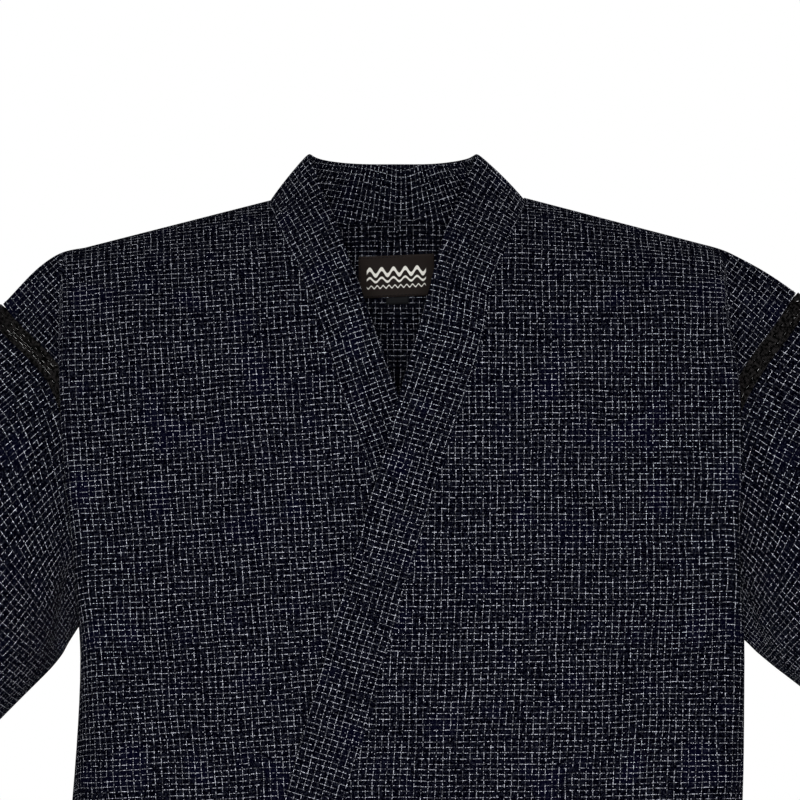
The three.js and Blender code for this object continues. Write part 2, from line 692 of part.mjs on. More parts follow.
function knot() {
  const { centre, out, up, right } = knotFrame();
  const basis = new THREE.Matrix4().makeBasis(right, up, out).setPosition(centre);
  const ball = new THREE.SphereGeometry(1, 12, 7).scale(...knotSize);
  ball.deleteAttribute("normal");
  ball.deleteAttribute("uv");
  return mergeVertices(ball, 1e-3).applyMatrix4(basis);
}

const cottonLook = { color: 0x1e1f26, roughness: 0.92, metalness: 0 };
const laceLook = { color: 0x16150f, roughness: 0.85, metalness: 0 };
const labelLook = { color: 0x1a1715, roughness: 0.6, metalness: 0 };

const jinbei = new THREE.Group();

function add(name, geometry, look) {
  const piece = new THREE.Mesh(geometry, new THREE.MeshStandardMaterial(look));
  piece.name = name;
  jinbei.add(piece);
}

for (const side of Object.values(sides)) {
  add("body_" + side.name, bodyHalf(side), cottonLook);
  add("lace_" + side.name, sleeveWall(side, [laceStart, laceMiddle, laceWidth], laceThick), laceLook);
  const alongs = [laceWidth + 2 * seamGap, 30, 55, 85, 120, 170, 220, laceWidth + sleeveLength];
  add("sleeve_" + side.name, sleeveWall(side, alongs, clothThick), cottonLook);
  add("shorts_leg_" + side.name, leg(side), cottonLook);
}
add("collar", collar(), cottonLook);
add("label", backPatch(labelPlace), labelLook);
add("size_tab", backPatch(tabPlace), labelLook);
add("shorts_waistband", waistband(), cottonLook);
add("tie_strap_front", tieStrap(frontStrap), cottonLook);
add("tie_strap_side", tieStrap(sideStrap), cottonLook);
for (const [name, rows] of Object.entries(tiePaths)) add(name, tieStrip(rows), cottonLook);
add("tie_knot", knot(), cottonLook);

export default jinbei;
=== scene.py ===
import math

import bpy
import numpy as np
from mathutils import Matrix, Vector


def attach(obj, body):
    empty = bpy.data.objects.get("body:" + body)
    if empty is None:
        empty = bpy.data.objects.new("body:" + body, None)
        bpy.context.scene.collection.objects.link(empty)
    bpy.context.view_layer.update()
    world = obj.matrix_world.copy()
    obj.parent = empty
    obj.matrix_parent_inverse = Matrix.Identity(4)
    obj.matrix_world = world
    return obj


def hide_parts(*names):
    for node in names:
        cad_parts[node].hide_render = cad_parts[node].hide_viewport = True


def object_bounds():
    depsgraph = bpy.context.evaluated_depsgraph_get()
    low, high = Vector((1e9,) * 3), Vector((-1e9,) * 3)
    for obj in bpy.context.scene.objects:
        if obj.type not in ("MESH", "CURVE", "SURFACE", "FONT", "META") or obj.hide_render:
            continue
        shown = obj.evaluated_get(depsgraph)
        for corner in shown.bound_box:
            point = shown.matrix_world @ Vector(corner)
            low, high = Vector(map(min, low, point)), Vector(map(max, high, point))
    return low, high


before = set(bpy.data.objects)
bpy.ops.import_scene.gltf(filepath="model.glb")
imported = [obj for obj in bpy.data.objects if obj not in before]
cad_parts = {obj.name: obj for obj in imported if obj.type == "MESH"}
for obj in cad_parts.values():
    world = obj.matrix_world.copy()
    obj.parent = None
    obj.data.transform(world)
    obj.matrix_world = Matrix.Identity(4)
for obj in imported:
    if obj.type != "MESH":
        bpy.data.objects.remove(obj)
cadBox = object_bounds()
mm = 0.001  # the sizes below are in millimetres, and Blender works in metres

# The camera looks straight at the chest from in front, as the photograph does.
cameraView = {
    "across": 2, "back": -2570, "height": -140, "chest": -70, "frameWide": 576, "sensor": 36,
}

# Plain soft studio light: a white surround, a wide front light and fills on the other sides.
studio = {
    "surround": 1.0,
    "lights": [  # name, place, size and watts
        ("frontLight", (-40, -3000, -110), 500, 250),
        ("leftLight", (2600, 1100, 500), 1200, 130),
        ("rightLight", (-2600, 1100, 500), 1200, 130),
        ("topLight", (0, -200, 2200), 1800, 40),
        ("backLight", (1700, 2600, 900), 1200, 480),
    ],
    "aim": (0, 0, -350),
    "floorSize": 5000,
    "floorBelow": 2,
    "floorPaint": "#f2f2f0",
}


def hexColour(text):
    values = [int(text[i:i + 2], 16) / 255 for i in (1, 3, 5)]
    linear = [v / 12.92 if v <= 0.04045 else ((v + 0.055) / 1.055) ** 2.4 for v in values]
    return (*linear, 1)


# Adds a node. An input is a value, a socket, or a node whose first output is meant.
def addNode(tree, kind, inputs=None, **settings):
    node = tree.nodes.new(kind)
    for name, value in settings.items():
        setattr(node, name, value)
    for key, value in (inputs or {}).items():
        if isinstance(value, bpy.types.Node):
            value = value.outputs[0]
        if isinstance(value, bpy.types.NodeSocket):
            tree.links.new(value, node.inputs[key])
        else:
            node.inputs[key].default_value = value
    return node


def newMaterial(name, constants):
    material = bpy.data.materials.new(name)
    material.use_nodes = True
    shader = material.node_tree.nodes["Principled BSDF"]
    for key, value in constants.items():
        shader.inputs[key].default_value = value
    return material, material.node_tree, shader


def addBump(tree, shader, height, strength, deep):
    bump = addNode(tree, "ShaderNodeBump", {
        "Height": height, "Strength": strength, "Distance": deep * mm,
    })
    tree.links.new(bump.outputs[0], shader.inputs["Normal"])


def place(obj):
    bpy.context.scene.collection.objects.link(obj)
    return obj


def addCamera(view):
    data = bpy.data.cameras.new("frontCamera")
    data.sensor_width = view["sensor"]
    data.lens = view["sensor"] * (view["chest"] - view["back"]) / view["frameWide"]
    data.clip_end = 50
    camera = place(bpy.data.objects.new("frontCamera", data))
    camera.location = [view[name] * mm for name in ("across", "back", "height")]
    camera.rotation_euler = (math.pi / 2, 0, 0)
    bpy.context.scene.camera = camera


def addStudio(studio):
    scene = bpy.context.scene
    scene.view_settings.view_transform = "Standard"
    world = bpy.data.worlds.new("whiteSurround")
    world.use_nodes = True
    surround = world.node_tree.nodes["Background"]
    surround.inputs["Color"].default_value = (1, 1, 1, 1)
    surround.inputs["Strength"].default_value = studio["surround"]
    scene.world = world
    for name, where, size, watts in studio["lights"]:
        data = bpy.data.lights.new(name, "AREA")
        data.size = size * mm
        data.energy = watts
        light = place(bpy.data.objects.new(name, data))
        light.location = Vector(where) * mm
        towards = Vector(studio["aim"]) - Vector(where)
        light.rotation_euler = towards.to_track_quat("-Z", "Y").to_euler()
    half = studio["floorSize"] * mm / 2
    low = cadBox[0][2] - studio["floorBelow"] * mm
    mesh = bpy.data.meshes.new("floor")
    mesh.from_pydata([(-half, -half, low), (half, -half, low), (half, half, low), (-half, half, low)],
                     [], [(0, 1, 2, 3)])
    colour = {"Base Color": hexColour(studio["floorPaint"]), "Roughness": 0.7}
    mesh.materials.append(newMaterial("paleFloorPaint", colour)[0])
    place(bpy.data.objects.new("floor", mesh))


addCamera(cameraView)
addStudio(studio)
print("camera and studio are set")


# The cut of the jacket. Across runs from the centre line to the armhole and down from the ridge of
# the shoulders, both along the cloth.
cut = {
    "halfWidth": 300,
    "length": 760,
    "neckHalf": 94,
    "neckDepth": 58,
    "armhole": 250,
    "round": 500,  # the whole armhole
    "laceWidth": 12,
    "sleeve": 260,
    "collarEnd": -540,
    "tuck": 5.2,  # the wearer's right front lies this far under the left front
    "tuckFrom": 64,  # from here inside the left front's edge
    "tuckOver": 60,
    "bendMost": 0.8,  # of the way from crease to armhole
    "bandTilt": 12,
    "chestCurve": 2.6,
    "seamGap": 0.3,
}
sides = {
    "left": {"name": "left", "sign": 1, "sleeveAngle": 35, "sleeveBend": 7},
    "right": {"name": "right", "sign": -1, "sleeveAngle": 43, "sleeveBend": 6},
}


def table(names, rows):
    return dict(zip(names.split(), np.array(rows, float).T))


# Rows of the front and back by their distance down the cloth: mid is the centre line, crease the
# fold where the cloth turns back to the armhole, edge the armhole or side seam.
rowNames = "down midY midZ creaseY creaseZ edgeX edgeY edgeZ bend"
frontRows = table(rowNames, [
    (0, 0, 27, 0, -35, 290, 0, -70, 12),
    (16, -16, 21, -14, -40, 282, -12, -79, 10),
    (35, -31, 9, -26, -51, 271, -22, -92, 7),
    (58, -46, -9, -37, -68, 257, -29, -109, 5),
    (85, -60, -34, -46, -92, 244, -33, -131, 5),
    (115, -72, -66, -52, -120, 234, -33, -159, 5),
    (145, -82, -99, -56, -149, 228, -29, -188, 6),
    (190, -92, -149, -59, -192, 222, -19, -231, 9),
    (250, -99, -215, -61, -249, 216, 0, -285, 16),
    (310, -103, -281, -63, -307, 220, 0, -334, 20),
    (380, -106, -357, -66, -375, 230, 0, -390, 30),
    (470, -110, -453, -74, -461, 241, 0, -468, 46),
    (570, -116, -553, -86, -557, 248, 0, -561, 62),
    (670, -121, -648, -93, -652, 251, 0, -655, 70),
    (760, -124, -733, -96, -737, 253, 0, -741, 72),
])
backRows = table(rowNames, [
    (0, 0, 27, 0, -35, 290, 0, -70, 12),
    (16, 17, 24, 14, -40, 282, 13, -79, 14),
    (35, 35, 16, 27, -51, 272, 24, -92, 16),
    (58, 54, -3, 38, -68, 259, 32, -110, 18),
    (85, 68, -27, 47, -92, 247, 36, -132, 20),
    (115, 78, -57, 54, -120, 238, 36, -160, 22),
    (145, 85, -90, 58, -149, 231, 31, -189, 22),
    (190, 92, -140, 61, -192, 224, 20, -232, 22),
    (250, 97, -208, 62, -249, 216, 0, -285, 22),
    (310, 98, -276, 63, -307, 220, 0, -334, 26),
    (380, 97, -354, 66, -375, 230, 0, -390, 34),
    (470, 99, -452, 74, -461, 241, 0, -468, 48),
    (570, 109, -553, 86, -557, 248, 0, -561, 62),
    (670, 118, -648, 94, -652, 251, 0, -655, 70),
    (760, 123, -733, 98, -737, 253, 0, -741, 72),
])
# How much higher each side's shoulder lies than those rows, on the flat part and at the edge.
shoulderRows = table("down leftFlat leftEdge rightFlat rightEdge", [
    (0, 6, 14, 3.6, 4), (16, 5.8, 13, 3.4, 5), (35, 5, 9, 2.6, 6.5), (58, 3, 4.5, 1.6, 8.5),
    (85, 1, 0.5, 0.6, 12), (115, 0, 0, 0, 10), (145, 0, 0, 0, 5), (190, 0, 0, 0, 0),
])
# The crown over each shoulder's end, and how much further out each armhole lies at its top.
shoulderCrown = {"left": 1.6, "right": 6, "fades": 70, "round": 1.4}
armholeOut = {"left": 8, "right": 4.5, "fades": 110}
# How far out each side's crease stands.
creaseRows = table("down left right", [
    (0, 238, 243), (60, 240, 246), (120, 249, 246), (190, 252, 243), (250, 253, 239),
    (330, 258, 233), (430, 259, 236), (570, 252, 246), (760, 250, 250),
])
# Where the collar's seam crosses each height of the front.
collarRows = table("drop left right", [
    (-3, 94, 94), (25, 81, 81), (54, 68, 67), (83, 63, 55.5), (104, 59, 49), (140, 47, 37.5),
    (187, 31, 21), (266, 8, -3), (320, -8, -18), (540, -70, -77),
])
# Where the collar's free edge lies on the front: a drop, how far across there, and its slope.
freeEdge = {"left": (133, 2.2, -0.284), "right": (133, -0.7, -0.288)}
frontEdge = {"left": -113.4, "right": -117.9}  # below the collar's end
backCollar = table("turn freeX freeY freeZ", [
    (9, 61.5, 9, 43), (24, 57, 27, 41), (44, 45, 45, 39.5), (66, 26, 56, 38.5), (90, 0, 58, 38.5),
])
sideCollar = table("drop freeX freeY freeZ", [
    (-3, 61.5, -5, 41.5), (8, 51.5, -19, 18), (25, 40, -36, -5), (40, 34, -48, -22),
    (56, 27, -58, -43),
])
# How much further out each free edge lies round the neck.
openCollar = table("drop left right", [
    (-60, -3, 3), (-38, -3, 3.5), (0, -1.5, 6), (60, 0, 5.5), (100, 0, 3), (140, 0, 0),
])
# Soft drape folds, each growing over drapeGrows from where it starts. Side is 1 for the wearer's
# left, and face -1 for the front.
drapeGrows = 220
drapeFolds = [  # side, face, across, wide, deep and where it starts
    (1, -1, 172, 30, 5, 330),
    (1, -1, 60, 42, -3, 420),
    (-1, -1, 186, 26, 6, 300),
    (-1, -1, 150, 36, 4, 480),
    (1, 1, 168, 34, 7, 240),
    (1, 1, 78, 40, 5, 420),
    (-1, 1, 158, 36, 7, 260),
    (-1, 1, 62, 36, 5, 460),
]


def ease(t):
    t = np.clip(t, 0, 1)
    return t * t * (3 - 2 * t)


def lerp(a, b, t):
    return a + (b - a) * t


def length(v):
    return np.linalg.norm(v, axis=-1)


def unit(v):
    return v / np.maximum(length(v), 1e-9)[..., None]


def bell(away, wide):
    return np.exp(-((away / wide) ** 2))


def points3(x, y, z):
    return np.stack(np.broadcast_arrays(x, y, z), -1).astype(float)


def clothMap(u, v):
    return points3(u, v, 0)[..., :2]


def smoothed(rows):
    return 0.25 * rows[:-2] + 0.5 * rows[1:-1] + 0.25 * rows[2:]


def named(what, side):
    return what + side["name"].title()


# A smooth value from one column of a table whose rows rise by the key column.
def column(rows, key, name, at):
    keys, values = rows[key], rows[name]
    slopes = np.diff(values) / np.diff(keys)
    inside = (values[2:] - values[:-2]) / (keys[2:] - keys[:-2])
    slopes = np.concatenate([slopes[:1], inside, slopes[-1:]])
    i = np.clip(np.searchsorted(keys, at) - 1, 0, len(keys) - 2)
    span = keys[i + 1] - keys[i]
    t = np.clip((at - keys[i]) / span, 0, 1)
    start = (2 * t**3 - 3 * t**2 + 1) * values[i]
    end = (3 * t**2 - 2 * t**3) * values[i + 1]
    leave = (t**3 - 2 * t**2 + t) * span * slopes[i]
    return start + end + leave + (t**3 - t**2) * span * slopes[i + 1]


def columns(rows, key, names, at):
    return [column(rows, key, name, at) for name in names.split()]


def freeAcross(side, z):
    drop, across, slope = freeEdge[side["name"]]
    return across + slope * (-z - drop)


def tuckAt(side, across, z):
    if side["name"] == "left":
        return 0
    cover = np.maximum(freeAcross(sides["left"], z), frontEdge["left"])
    return cut["tuck"] * ease((-across - (cover - cut["tuckFrom"])) / cut["tuckOver"])


def drapeAt(side, face, across, down):
    depth = 0
    for sign, onFace, middle, wide, deep, start in drapeFolds:
        if (sign, onFace) == (side["sign"], face):
            depth = depth + deep * bell(across - middle, wide) * ease((down - start) / drapeGrows)
    return depth


def flatPoint(side, face, across, down, at, creaseX):
    share = np.abs(across) / creaseX
    y = lerp(at["midY"], at["creaseY"], share ** cut["chestCurve"])
    z = lerp(at["midZ"], at["creaseZ"], share)
    push = tuckAt(side, across, z) if face < 0 else 0
    return points3(across, y + push - face * drapeAt(side, face, across, down), z)


def shoulderLift(side, across, down, bendStart):
    flat, edge = [column(shoulderRows, "down", side["name"] + part, down)
                  for part in ("Flat", "Edge")]
    turn = np.clip((across - bendStart) / (cut["halfWidth"] - bendStart), 0, 1)
    crown = shoulderCrown[side["name"]] * np.sin(math.pi * turn) ** shoulderCrown["round"]
    return lerp(flat, edge, ease(turn)) + crown * (1 - ease(down / shoulderCrown["fades"]))


# A point of the body cloth: flat as far as the bend, then turned round the crease to the armhole.
def bodyPoint(side, face, across, down):
    across, down = [np.array(v, float) for v in np.broadcast_arrays(across, down)]
    rows = frontRows if face < 0 else backRows
    at = {name: column(rows, "down", name, down) for name in rows if name != "down"}
    creaseX = column(creaseRows, "down", side["name"], down)
    bendStart = creaseX - at["bend"]
    flat = flatPoint(side, face, across, down, at, creaseX)
    first = flatPoint(side, face, bendStart, down, at, creaseX)
    corner = points3(creaseX, at["creaseY"], at["creaseZ"])
    reach = armholeOut[side["name"]] * (1 - ease(down / armholeOut["fades"]))
    angle = math.radians(side["sleeveAngle"])
    edge = points3(at["edgeX"] + reach * math.cos(angle), at["edgeY"] + face * cut["seamGap"] / 2,
                   at["edgeZ"] - reach * math.sin(angle))
    turn = edge - corner
    last = corner + turn * np.minimum(at["bend"] / length(turn), cut["bendMost"])[..., None]
    bendLength = 0.5 * (length(first - last) + length(first - corner) + length(corner - last))
    restLength = length(edge - last)
    path = (across - bendStart) / (cut["halfWidth"] - bendStart) * (bendLength + restLength)
    t = np.clip(path / bendLength, 0, 1)[..., None]
    curve = first * (1 - t) ** 2 + 2 * corner * t * (1 - t) + last * t**2
    straight = lerp(last, edge, np.clip((path - bendLength) / restLength, 0, 1)[..., None])
    turned = np.where((path < bendLength)[..., None], curve, straight)
    point = np.where((across <= bendStart)[..., None], flat, turned)
    point[..., 0] *= side["sign"]
    point[..., 2] += shoulderLift(side, across, down, bendStart)
    return point


def normalOf(surface, u, v, flip, step=0.5):
    du = surface(u + step, v) - surface(u - step, v)
    dv = surface(u, v + step) - surface(u, v - step)
    return unit(np.cross(du, dv)) * flip


def bodyNormal(side, face, across, down):
    across = np.minimum(across, cut["halfWidth"] - 0.6)
    down = np.maximum(down, 0.6)
    return normalOf(lambda a, d: bodyPoint(side, face, a, d), across, down, face * side["sign"])


# A line on the body, lifted off its face.
def bodyLine(side, face, across, down, lift):
    lifted = bodyNormal(side, face, across, down) * np.asarray(lift)[..., None]
    return bodyPoint(side, face, across, down) + lifted


# How far down the cloth a height lies.
def downAt(side, across, z, face=-1):
    low = np.zeros(np.broadcast(across, z).shape)
    high = low + cut["length"]
    for halving in range(22):
        middle = (low + high) / 2
        above = bodyPoint(side, face, across, middle)[..., 2] > z
        low, high = np.where(above, middle, low), np.where(above, high, middle)
    return low


def frontAt(side, across, z, lift):
    return bodyLine(side, -1, across, downAt(side, across, z), lift)


def seamOnRow(side, down):
    across = np.full(np.shape(down), float(cut["neckHalf"]))
    for turn in range(12):
        across = column(collarRows, "drop", side["name"], -bodyPoint(side, -1, across, down)[..., 2])
    return across


def collarEndDown(side):
    across = column(collarRows, "drop", side["name"], -cut["collarEnd"])
    return float(downAt(side, across, cut["collarEnd"]))


def spaced(start, end, step):
    return np.linspace(start, end, max(int(round(abs(end - start) / step)), 1) + 1)


# Troughs and ridges laid on a sheet one by one: from one place to another, how wide and how deep. Each
# one fades at both ends.
def creaseRelief(creases, u, v):
    height = np.zeros(np.shape(u))
    for fromU, fromV, toU, toV, wide, deep in creases:
        runU, runV = toU - fromU, toV - fromV
        run = math.hypot(runU, runV)
        t = ((u - fromU) * runU + (v - fromV) * runV) / run**2
        apart = ((u - fromU) * runV - (v - fromV) * runU) / run
        height -= deep * bell(apart, wide) * ease((t + 0.15) / 0.4) * ease((1.15 - t) / 0.4)
    return height


# The step where a hem is turned in: from there to its end the cloth is doubled.
def hemStep(piece, along, end):
    return piece["hemStep"] * ease((along - end + piece["hem"]) / 1.5)


# Slow unevenness of cloth that hangs free, from a few crossing waves, so that no panel is a plain
# sheet.
def cloudRelief(u, v, deep, seed):
    turn = np.random.default_rng(seed).uniform(0, 2 * math.pi, 5)
    alongU = np.sin(u / 41 + 1.3 * np.sin(v / 67 + turn[0]) + turn[1])
    alongV = np.sin(v / 53 + 1.1 * np.sin(u / 58 + turn[2]) + turn[3])
    return deep * (alongU + alongV + 0.5 * np.sin((u + v) / 23 + turn[4])) / 2.5


def gridNormals(points, outward):
    normals = unit(np.cross(np.gradient(points, axis=0), np.gradient(points, axis=1)))
    return normals * np.sign(np.sum(normals * outward) or 1)


# A mesh from a grid of points in millimetres, with its cloth map. A wrapped grid closes on itself
# along each row, and a capped one has its first and last rows closed.
def gridMesh(name, points, uv, outward, wrapped=False, capped=False):
    rows, cols = points.shape[:2]
    r, c = np.meshgrid(np.arange(rows - 1), np.arange(cols if wrapped else cols - 1), indexing="ij")
    corners = [(r, c), (r + 1, c), (r + 1, c + 1), (r, c + 1)]
    quads = np.stack([row * cols + col % cols for row, col in corners], -1).reshape(-1, 4)
    maps = np.stack([uv[row, col] for row, col in corners], -2).reshape(-1, 4, 2)
    faces = quads.tolist()
    loops = [maps.reshape(-1, 2)]
    if capped:
        faces += [list(range(cols)), list(range(rows * cols - 1, (rows - 1) * cols - 1, -1))]
        loops += [uv[0, :cols], uv[-1, :cols][::-1]]
    flat = points.reshape(-1, 3)
    normal = np.cross(flat[quads[:, 1]] - flat[quads[:, 0]], flat[quads[:, 2]] - flat[quads[:, 0]])
    away = np.broadcast_to(outward, points.shape).reshape(-1, 3)[quads[:, 0]]
    if np.sum(normal * away) < 0:
        faces = [face[::-1] for face in faces]
        loops = [maps[:, ::-1].reshape(-1, 2)] + [loop[::-1] for loop in loops[1:]]
    mesh = bpy.data.meshes.new(name)
    mesh.from_pydata((flat * mm).tolist(), [], faces)
    layer = mesh.uv_layers.new(name="cloth")
    layer.data.foreach_set("uv", (np.concatenate(loops) * mm).ravel())
    mesh.polygons.foreach_set("use_smooth", np.ones(len(faces), bool))
    mesh.update()
    return mesh


def addPiece(name, mesh, material, nodes=(), thick=0):
    piece = place(bpy.data.objects.new(name, mesh))
    mesh.materials.clear()
    mesh.materials.append(material)
    if thick:
        shell = piece.modifiers.new("clothThickness", "SOLIDIFY")
        shell.thickness = thick * mm
        shell.offset = 0
    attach(piece, "root")
    if nodes:
        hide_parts(*nodes)
    return piece


# A doubled, rounded band between two edges, with its outward direction at each station.
def bandMesh(name, start, end, outward, thick, crown, relief, across):
    s = 0.5 - 0.5 * np.cos(np.linspace(0, math.pi, across))
    half = thick / 2 * np.sqrt(np.clip(1 - np.abs(2 * s - 1) ** 8, 0, 1))
    middle = crown * np.sin(math.pi * s)
    ring = np.concatenate([s, s[-2:0:-1]])
    wide = length(end - start)[:, None]
    along = np.concatenate([[0], np.cumsum(length(np.diff((start + end) / 2, axis=0)))])[:, None]
    lift = np.concatenate([middle + half, (middle - half)[-2:0:-1]])
    lift = lift + relief(ring * wide, along + 0 * ring)
    points = lerp(start[:, None], end[:, None], ring[:, None]) + outward[:, None] * lift[..., None]
    far = np.concatenate([s, 2 - s[-2::-1]])
    away = outward[:, None] * np.sign(lift)[..., None]
    return gridMesh(name, points, clothMap(far * wide, along), away, wrapped=True, capped=True)


# The start and the end of a group that turns drawn lines into one piece.
def newGroup(name, inputs):
    tree = bpy.data.node_groups.new(name, "GeometryNodeTree")
    tree.interface.new_socket("Geometry", in_out="INPUT", socket_type="NodeSocketGeometry")
    for label, kind in inputs.items():
        tree.interface.new_socket(label, in_out="INPUT", socket_type=kind)
    tree.interface.new_socket("Geometry", in_out="OUTPUT", socket_type="NodeSocketGeometry")
    return tree, addNode(tree, "NodeGroupInput")


def endGroup(tree, geometry, material):
    smooth = addNode(tree, "GeometryNodeSetShadeSmooth", {"Geometry": geometry})
    real = addNode(tree, "GeometryNodeRealizeInstances", {"Geometry": smooth})
    painted = addNode(tree, "GeometryNodeSetMaterial", {"Geometry": real, "Material": material})
    addNode(tree, "NodeGroupOutput", {0: painted})
    return tree


# Stitches: small rounded threads, one after another along each line.
def stitchGroup():
    tree, given = newGroup("stitchRow", {
        "Pitch": "NodeSocketFloat", "Stitch Length": "NodeSocketFloat",
        "Thread Width": "NodeSocketFloat", "Material": "NodeSocketMaterial",
    })
    line = addNode(tree, "GeometryNodeMeshToCurve", {"Mesh": given.outputs["Geometry"]})
    evenly = addNode(tree, "GeometryNodeResampleCurve", {"Curve": line}, mode="LENGTH")
    tree.links.new(given.outputs["Pitch"], evenly.inputs["Length"])
    thread = addNode(tree, "GeometryNodeMeshUVSphere", {"Segments": 6, "Rings": 4, "Radius": 0.5})
    long, wide = given.outputs["Stitch Length"], given.outputs["Thread Width"]
    size = addNode(tree, "ShaderNodeCombineXYZ", {"X": long, "Y": wide, "Z": wide})
    stitch = addNode(tree, "GeometryNodeTransform", {"Geometry": thread, "Scale": size})
    tangent = addNode(tree, "GeometryNodeInputTangent")
    turn = addNode(tree, "FunctionNodeAlignRotationToVector", {"Vector": tangent}, axis="X")
    placed = addNode(tree, "GeometryNodeInstanceOnPoints", {
        "Points": evenly, "Instance": stitch, "Rotation": turn,
    })
    return endGroup(tree, placed, given.outputs["Material"])


# Threads: a round thread along each drawn line, for the lace.
def threadGroup():
    tree, given = newGroup("roundThread", {
        "Thread Width": "NodeSocketFloat", "Sides": "NodeSocketInt", "Material": "NodeSocketMaterial",
    })
    line = addNode(tree, "GeometryNodeMeshToCurve", {"Mesh": given.outputs["Geometry"]})
    wide = given.outputs["Thread Width"]
    radius = addNode(tree, "ShaderNodeMath", {0: wide, 1: 0.5}, operation="MULTIPLY")
    ring = addNode(tree, "GeometryNodeCurvePrimitiveCircle", {
        "Resolution": given.outputs["Sides"], "Radius": radius,
    })
    tube = addNode(tree, "GeometryNodeCurveToMesh", {
        "Curve": line, "Profile Curve": ring, "Fill Caps": True,
    })
    return endGroup(tree, tube, given.outputs["Material"])


# Grows a group over lines, each a list of points in millimetres, into one plain mesh.
def growLines(name, lines, group, values):
    mesh = bpy.data.meshes.new(name)
    points = np.concatenate(lines)
    starts = np.cumsum([0] + [len(line) for line in lines])
    edges = [(i, i + 1) for first, last in zip(starts[:-1], starts[1:])
             for i in range(first, last - 1)]
    mesh.from_pydata((points * mm).tolist(), edges, [])
    drawn = place(bpy.data.objects.new(name, mesh))
    modifier = drawn.modifiers.new(group.name, "NODES")
    modifier.node_group = group
    for socket in group.interface.items_tree:
        if socket.in_out == "INPUT" and socket.name in values:
            modifier[socket.identifier] = values[socket.name]
    depsgraph = bpy.context.evaluated_depsgraph_get()
    grown = bpy.data.meshes.new_from_object(drawn.evaluated_get(depsgraph))
    bpy.data.objects.remove(drawn)
    return grown


# Woven cotton, yarn-dyed: a dark navy ground of uneven threads, crossed by thin off-white threads
# that show as broken dashes. It is quite matt. Sizes are in millimetres.
cotton = {
    "warpSpacing": 4.9,  # between the off-white threads that run down the cloth
    "weftSpacing": 3.9,
    "threadWide": 0.27,
    "groundThread": 0.78,
    "drift": (4, 3.2, 0),  # how far threads wander slowly over the cloth,
    "beat": (0.6, 2.6, 0),  # from row to row,
    "shake": (0.3, 0.3, 0),  # and from weave to weave
    "fewDots": 3.8,  # a higher one leaves fewer bright dots on a thread
    "lostTo": 0.7,  # the share of its brightness that a thread keeps where it is lost
    "toneStops": (0.46, 0.59, 0.8),
    "deep": "#000001",
    "ground": "#020205",
    "bright": "#08090e",
    "navy": "#010108",
    "offWhite": "#91939b",
}


# Moves places by a noise field, up to half of by either way.
def wander(tree, places, by, field, scale, detail):
    noise = addNode(tree, "ShaderNodeTexNoise", {"Vector": field, "Scale": scale, "Detail": detail})
    push = addNode(tree, "ShaderNodeVectorMath", {
        0: noise.outputs["Color"], 1: by, 2: [-value / 2 for value in by],
    }, operation="MULTIPLY_ADD")
    return addNode(tree, "ShaderNodeVectorMath", {0: places, 1: push}, operation="ADD")


# Where the off-white threads of one direction show. number tells them apart, and along runs
# along them.
def threadMask(tree, look, offLine, number, along):
    onLine = addNode(tree, "ShaderNodeMapRange", {
        "Value": offLine, "From Min": look["threadWide"] * 0.75, "From Max": look["threadWide"] * 0.2,
    }, interpolation_type="SMOOTHSTEP")
    # Each thread is lost and found along its length, in a way of its own.
    own = addNode(tree, "ShaderNodeMath", {0: number, 1: 7.31}, operation="MULTIPLY")
    slowly = addNode(tree, "ShaderNodeMath", {0: along, 1: 0.3}, operation="MULTIPLY")
    where = addNode(tree, "ShaderNodeCombineXYZ", {"X": own, "Y": slowly})
    dash = addNode(tree, "ShaderNodeTexNoise", {"Vector": where, "Scale": 1.0, "Detail": 1.0},
                   noise_dimensions="2D")
    shown = addNode(tree, "ShaderNodeMapRange", {
        "Value": dash.outputs["Fac"], "From Min": 0.3, "From Max": 0.65, "To Min": look["lostTo"],
    })
    # It comes up between two crossing threads as one bright dot, and goes under the next.
    crossing = addNode(tree, "ShaderNodeMath", {0: along, 1: look["groundThread"]},
                       operation="DIVIDE")
    count = addNode(tree, "ShaderNodeMath", {0: crossing}, operation="FLOOR")
    dotAt = addNode(tree, "ShaderNodeCombineXYZ", {"X": own, "Y": count})
    dot = addNode(tree, "ShaderNodeTexWhiteNoise", {"Vector": dotAt}, noise_dimensions="2D")
    few = addNode(tree, "ShaderNodeMath", {0: dot.outputs["Value"], 1: look["fewDots"]},
                  operation="POWER")
    level = addNode(tree, "ShaderNodeMath", {0: few, 1: shown}, operation="MULTIPLY")
    return addNode(tree, "ShaderNodeMath", {0: onLine, 1: level}, operation="MULTIPLY")


def checkLines(tree, look, inMm, places):
    spacing = (look["warpSpacing"], look["weftSpacing"], 1)
    cells = addNode(tree, "ShaderNodeVectorMath", {0: places, 1: spacing}, operation="DIVIDE")
    inCell = addNode(tree, "ShaderNodeVectorMath", {0: cells}, operation="FRACTION")
    middle = addNode(tree, "ShaderNodeVectorMath", {0: inCell, 1: (0.5, 0.5, 0)},
                     operation="SUBTRACT")
    apart = addNode(tree, "ShaderNodeVectorMath", {0: middle}, operation="ABSOLUTE")
    apartMm = addNode(tree, "ShaderNodeVectorMath", {0: apart, 1: spacing}, operation="MULTIPLY")
    cell = addNode(tree, "ShaderNodeVectorMath", {0: cells}, operation="FLOOR")
    offLine, number, spot = [addNode(tree, "ShaderNodeSeparateXYZ", {0: vector})
                             for vector in (apartMm, cell, inMm)]
    masks = [threadMask(tree, look, offLine.outputs[across], number.outputs[across],
                        spot.outputs[along]) for across, along in ("XY", "YX")]
    return addNode(tree, "ShaderNodeMath", {0: masks[0], 1: masks[1]}, operation="MAXIMUM")


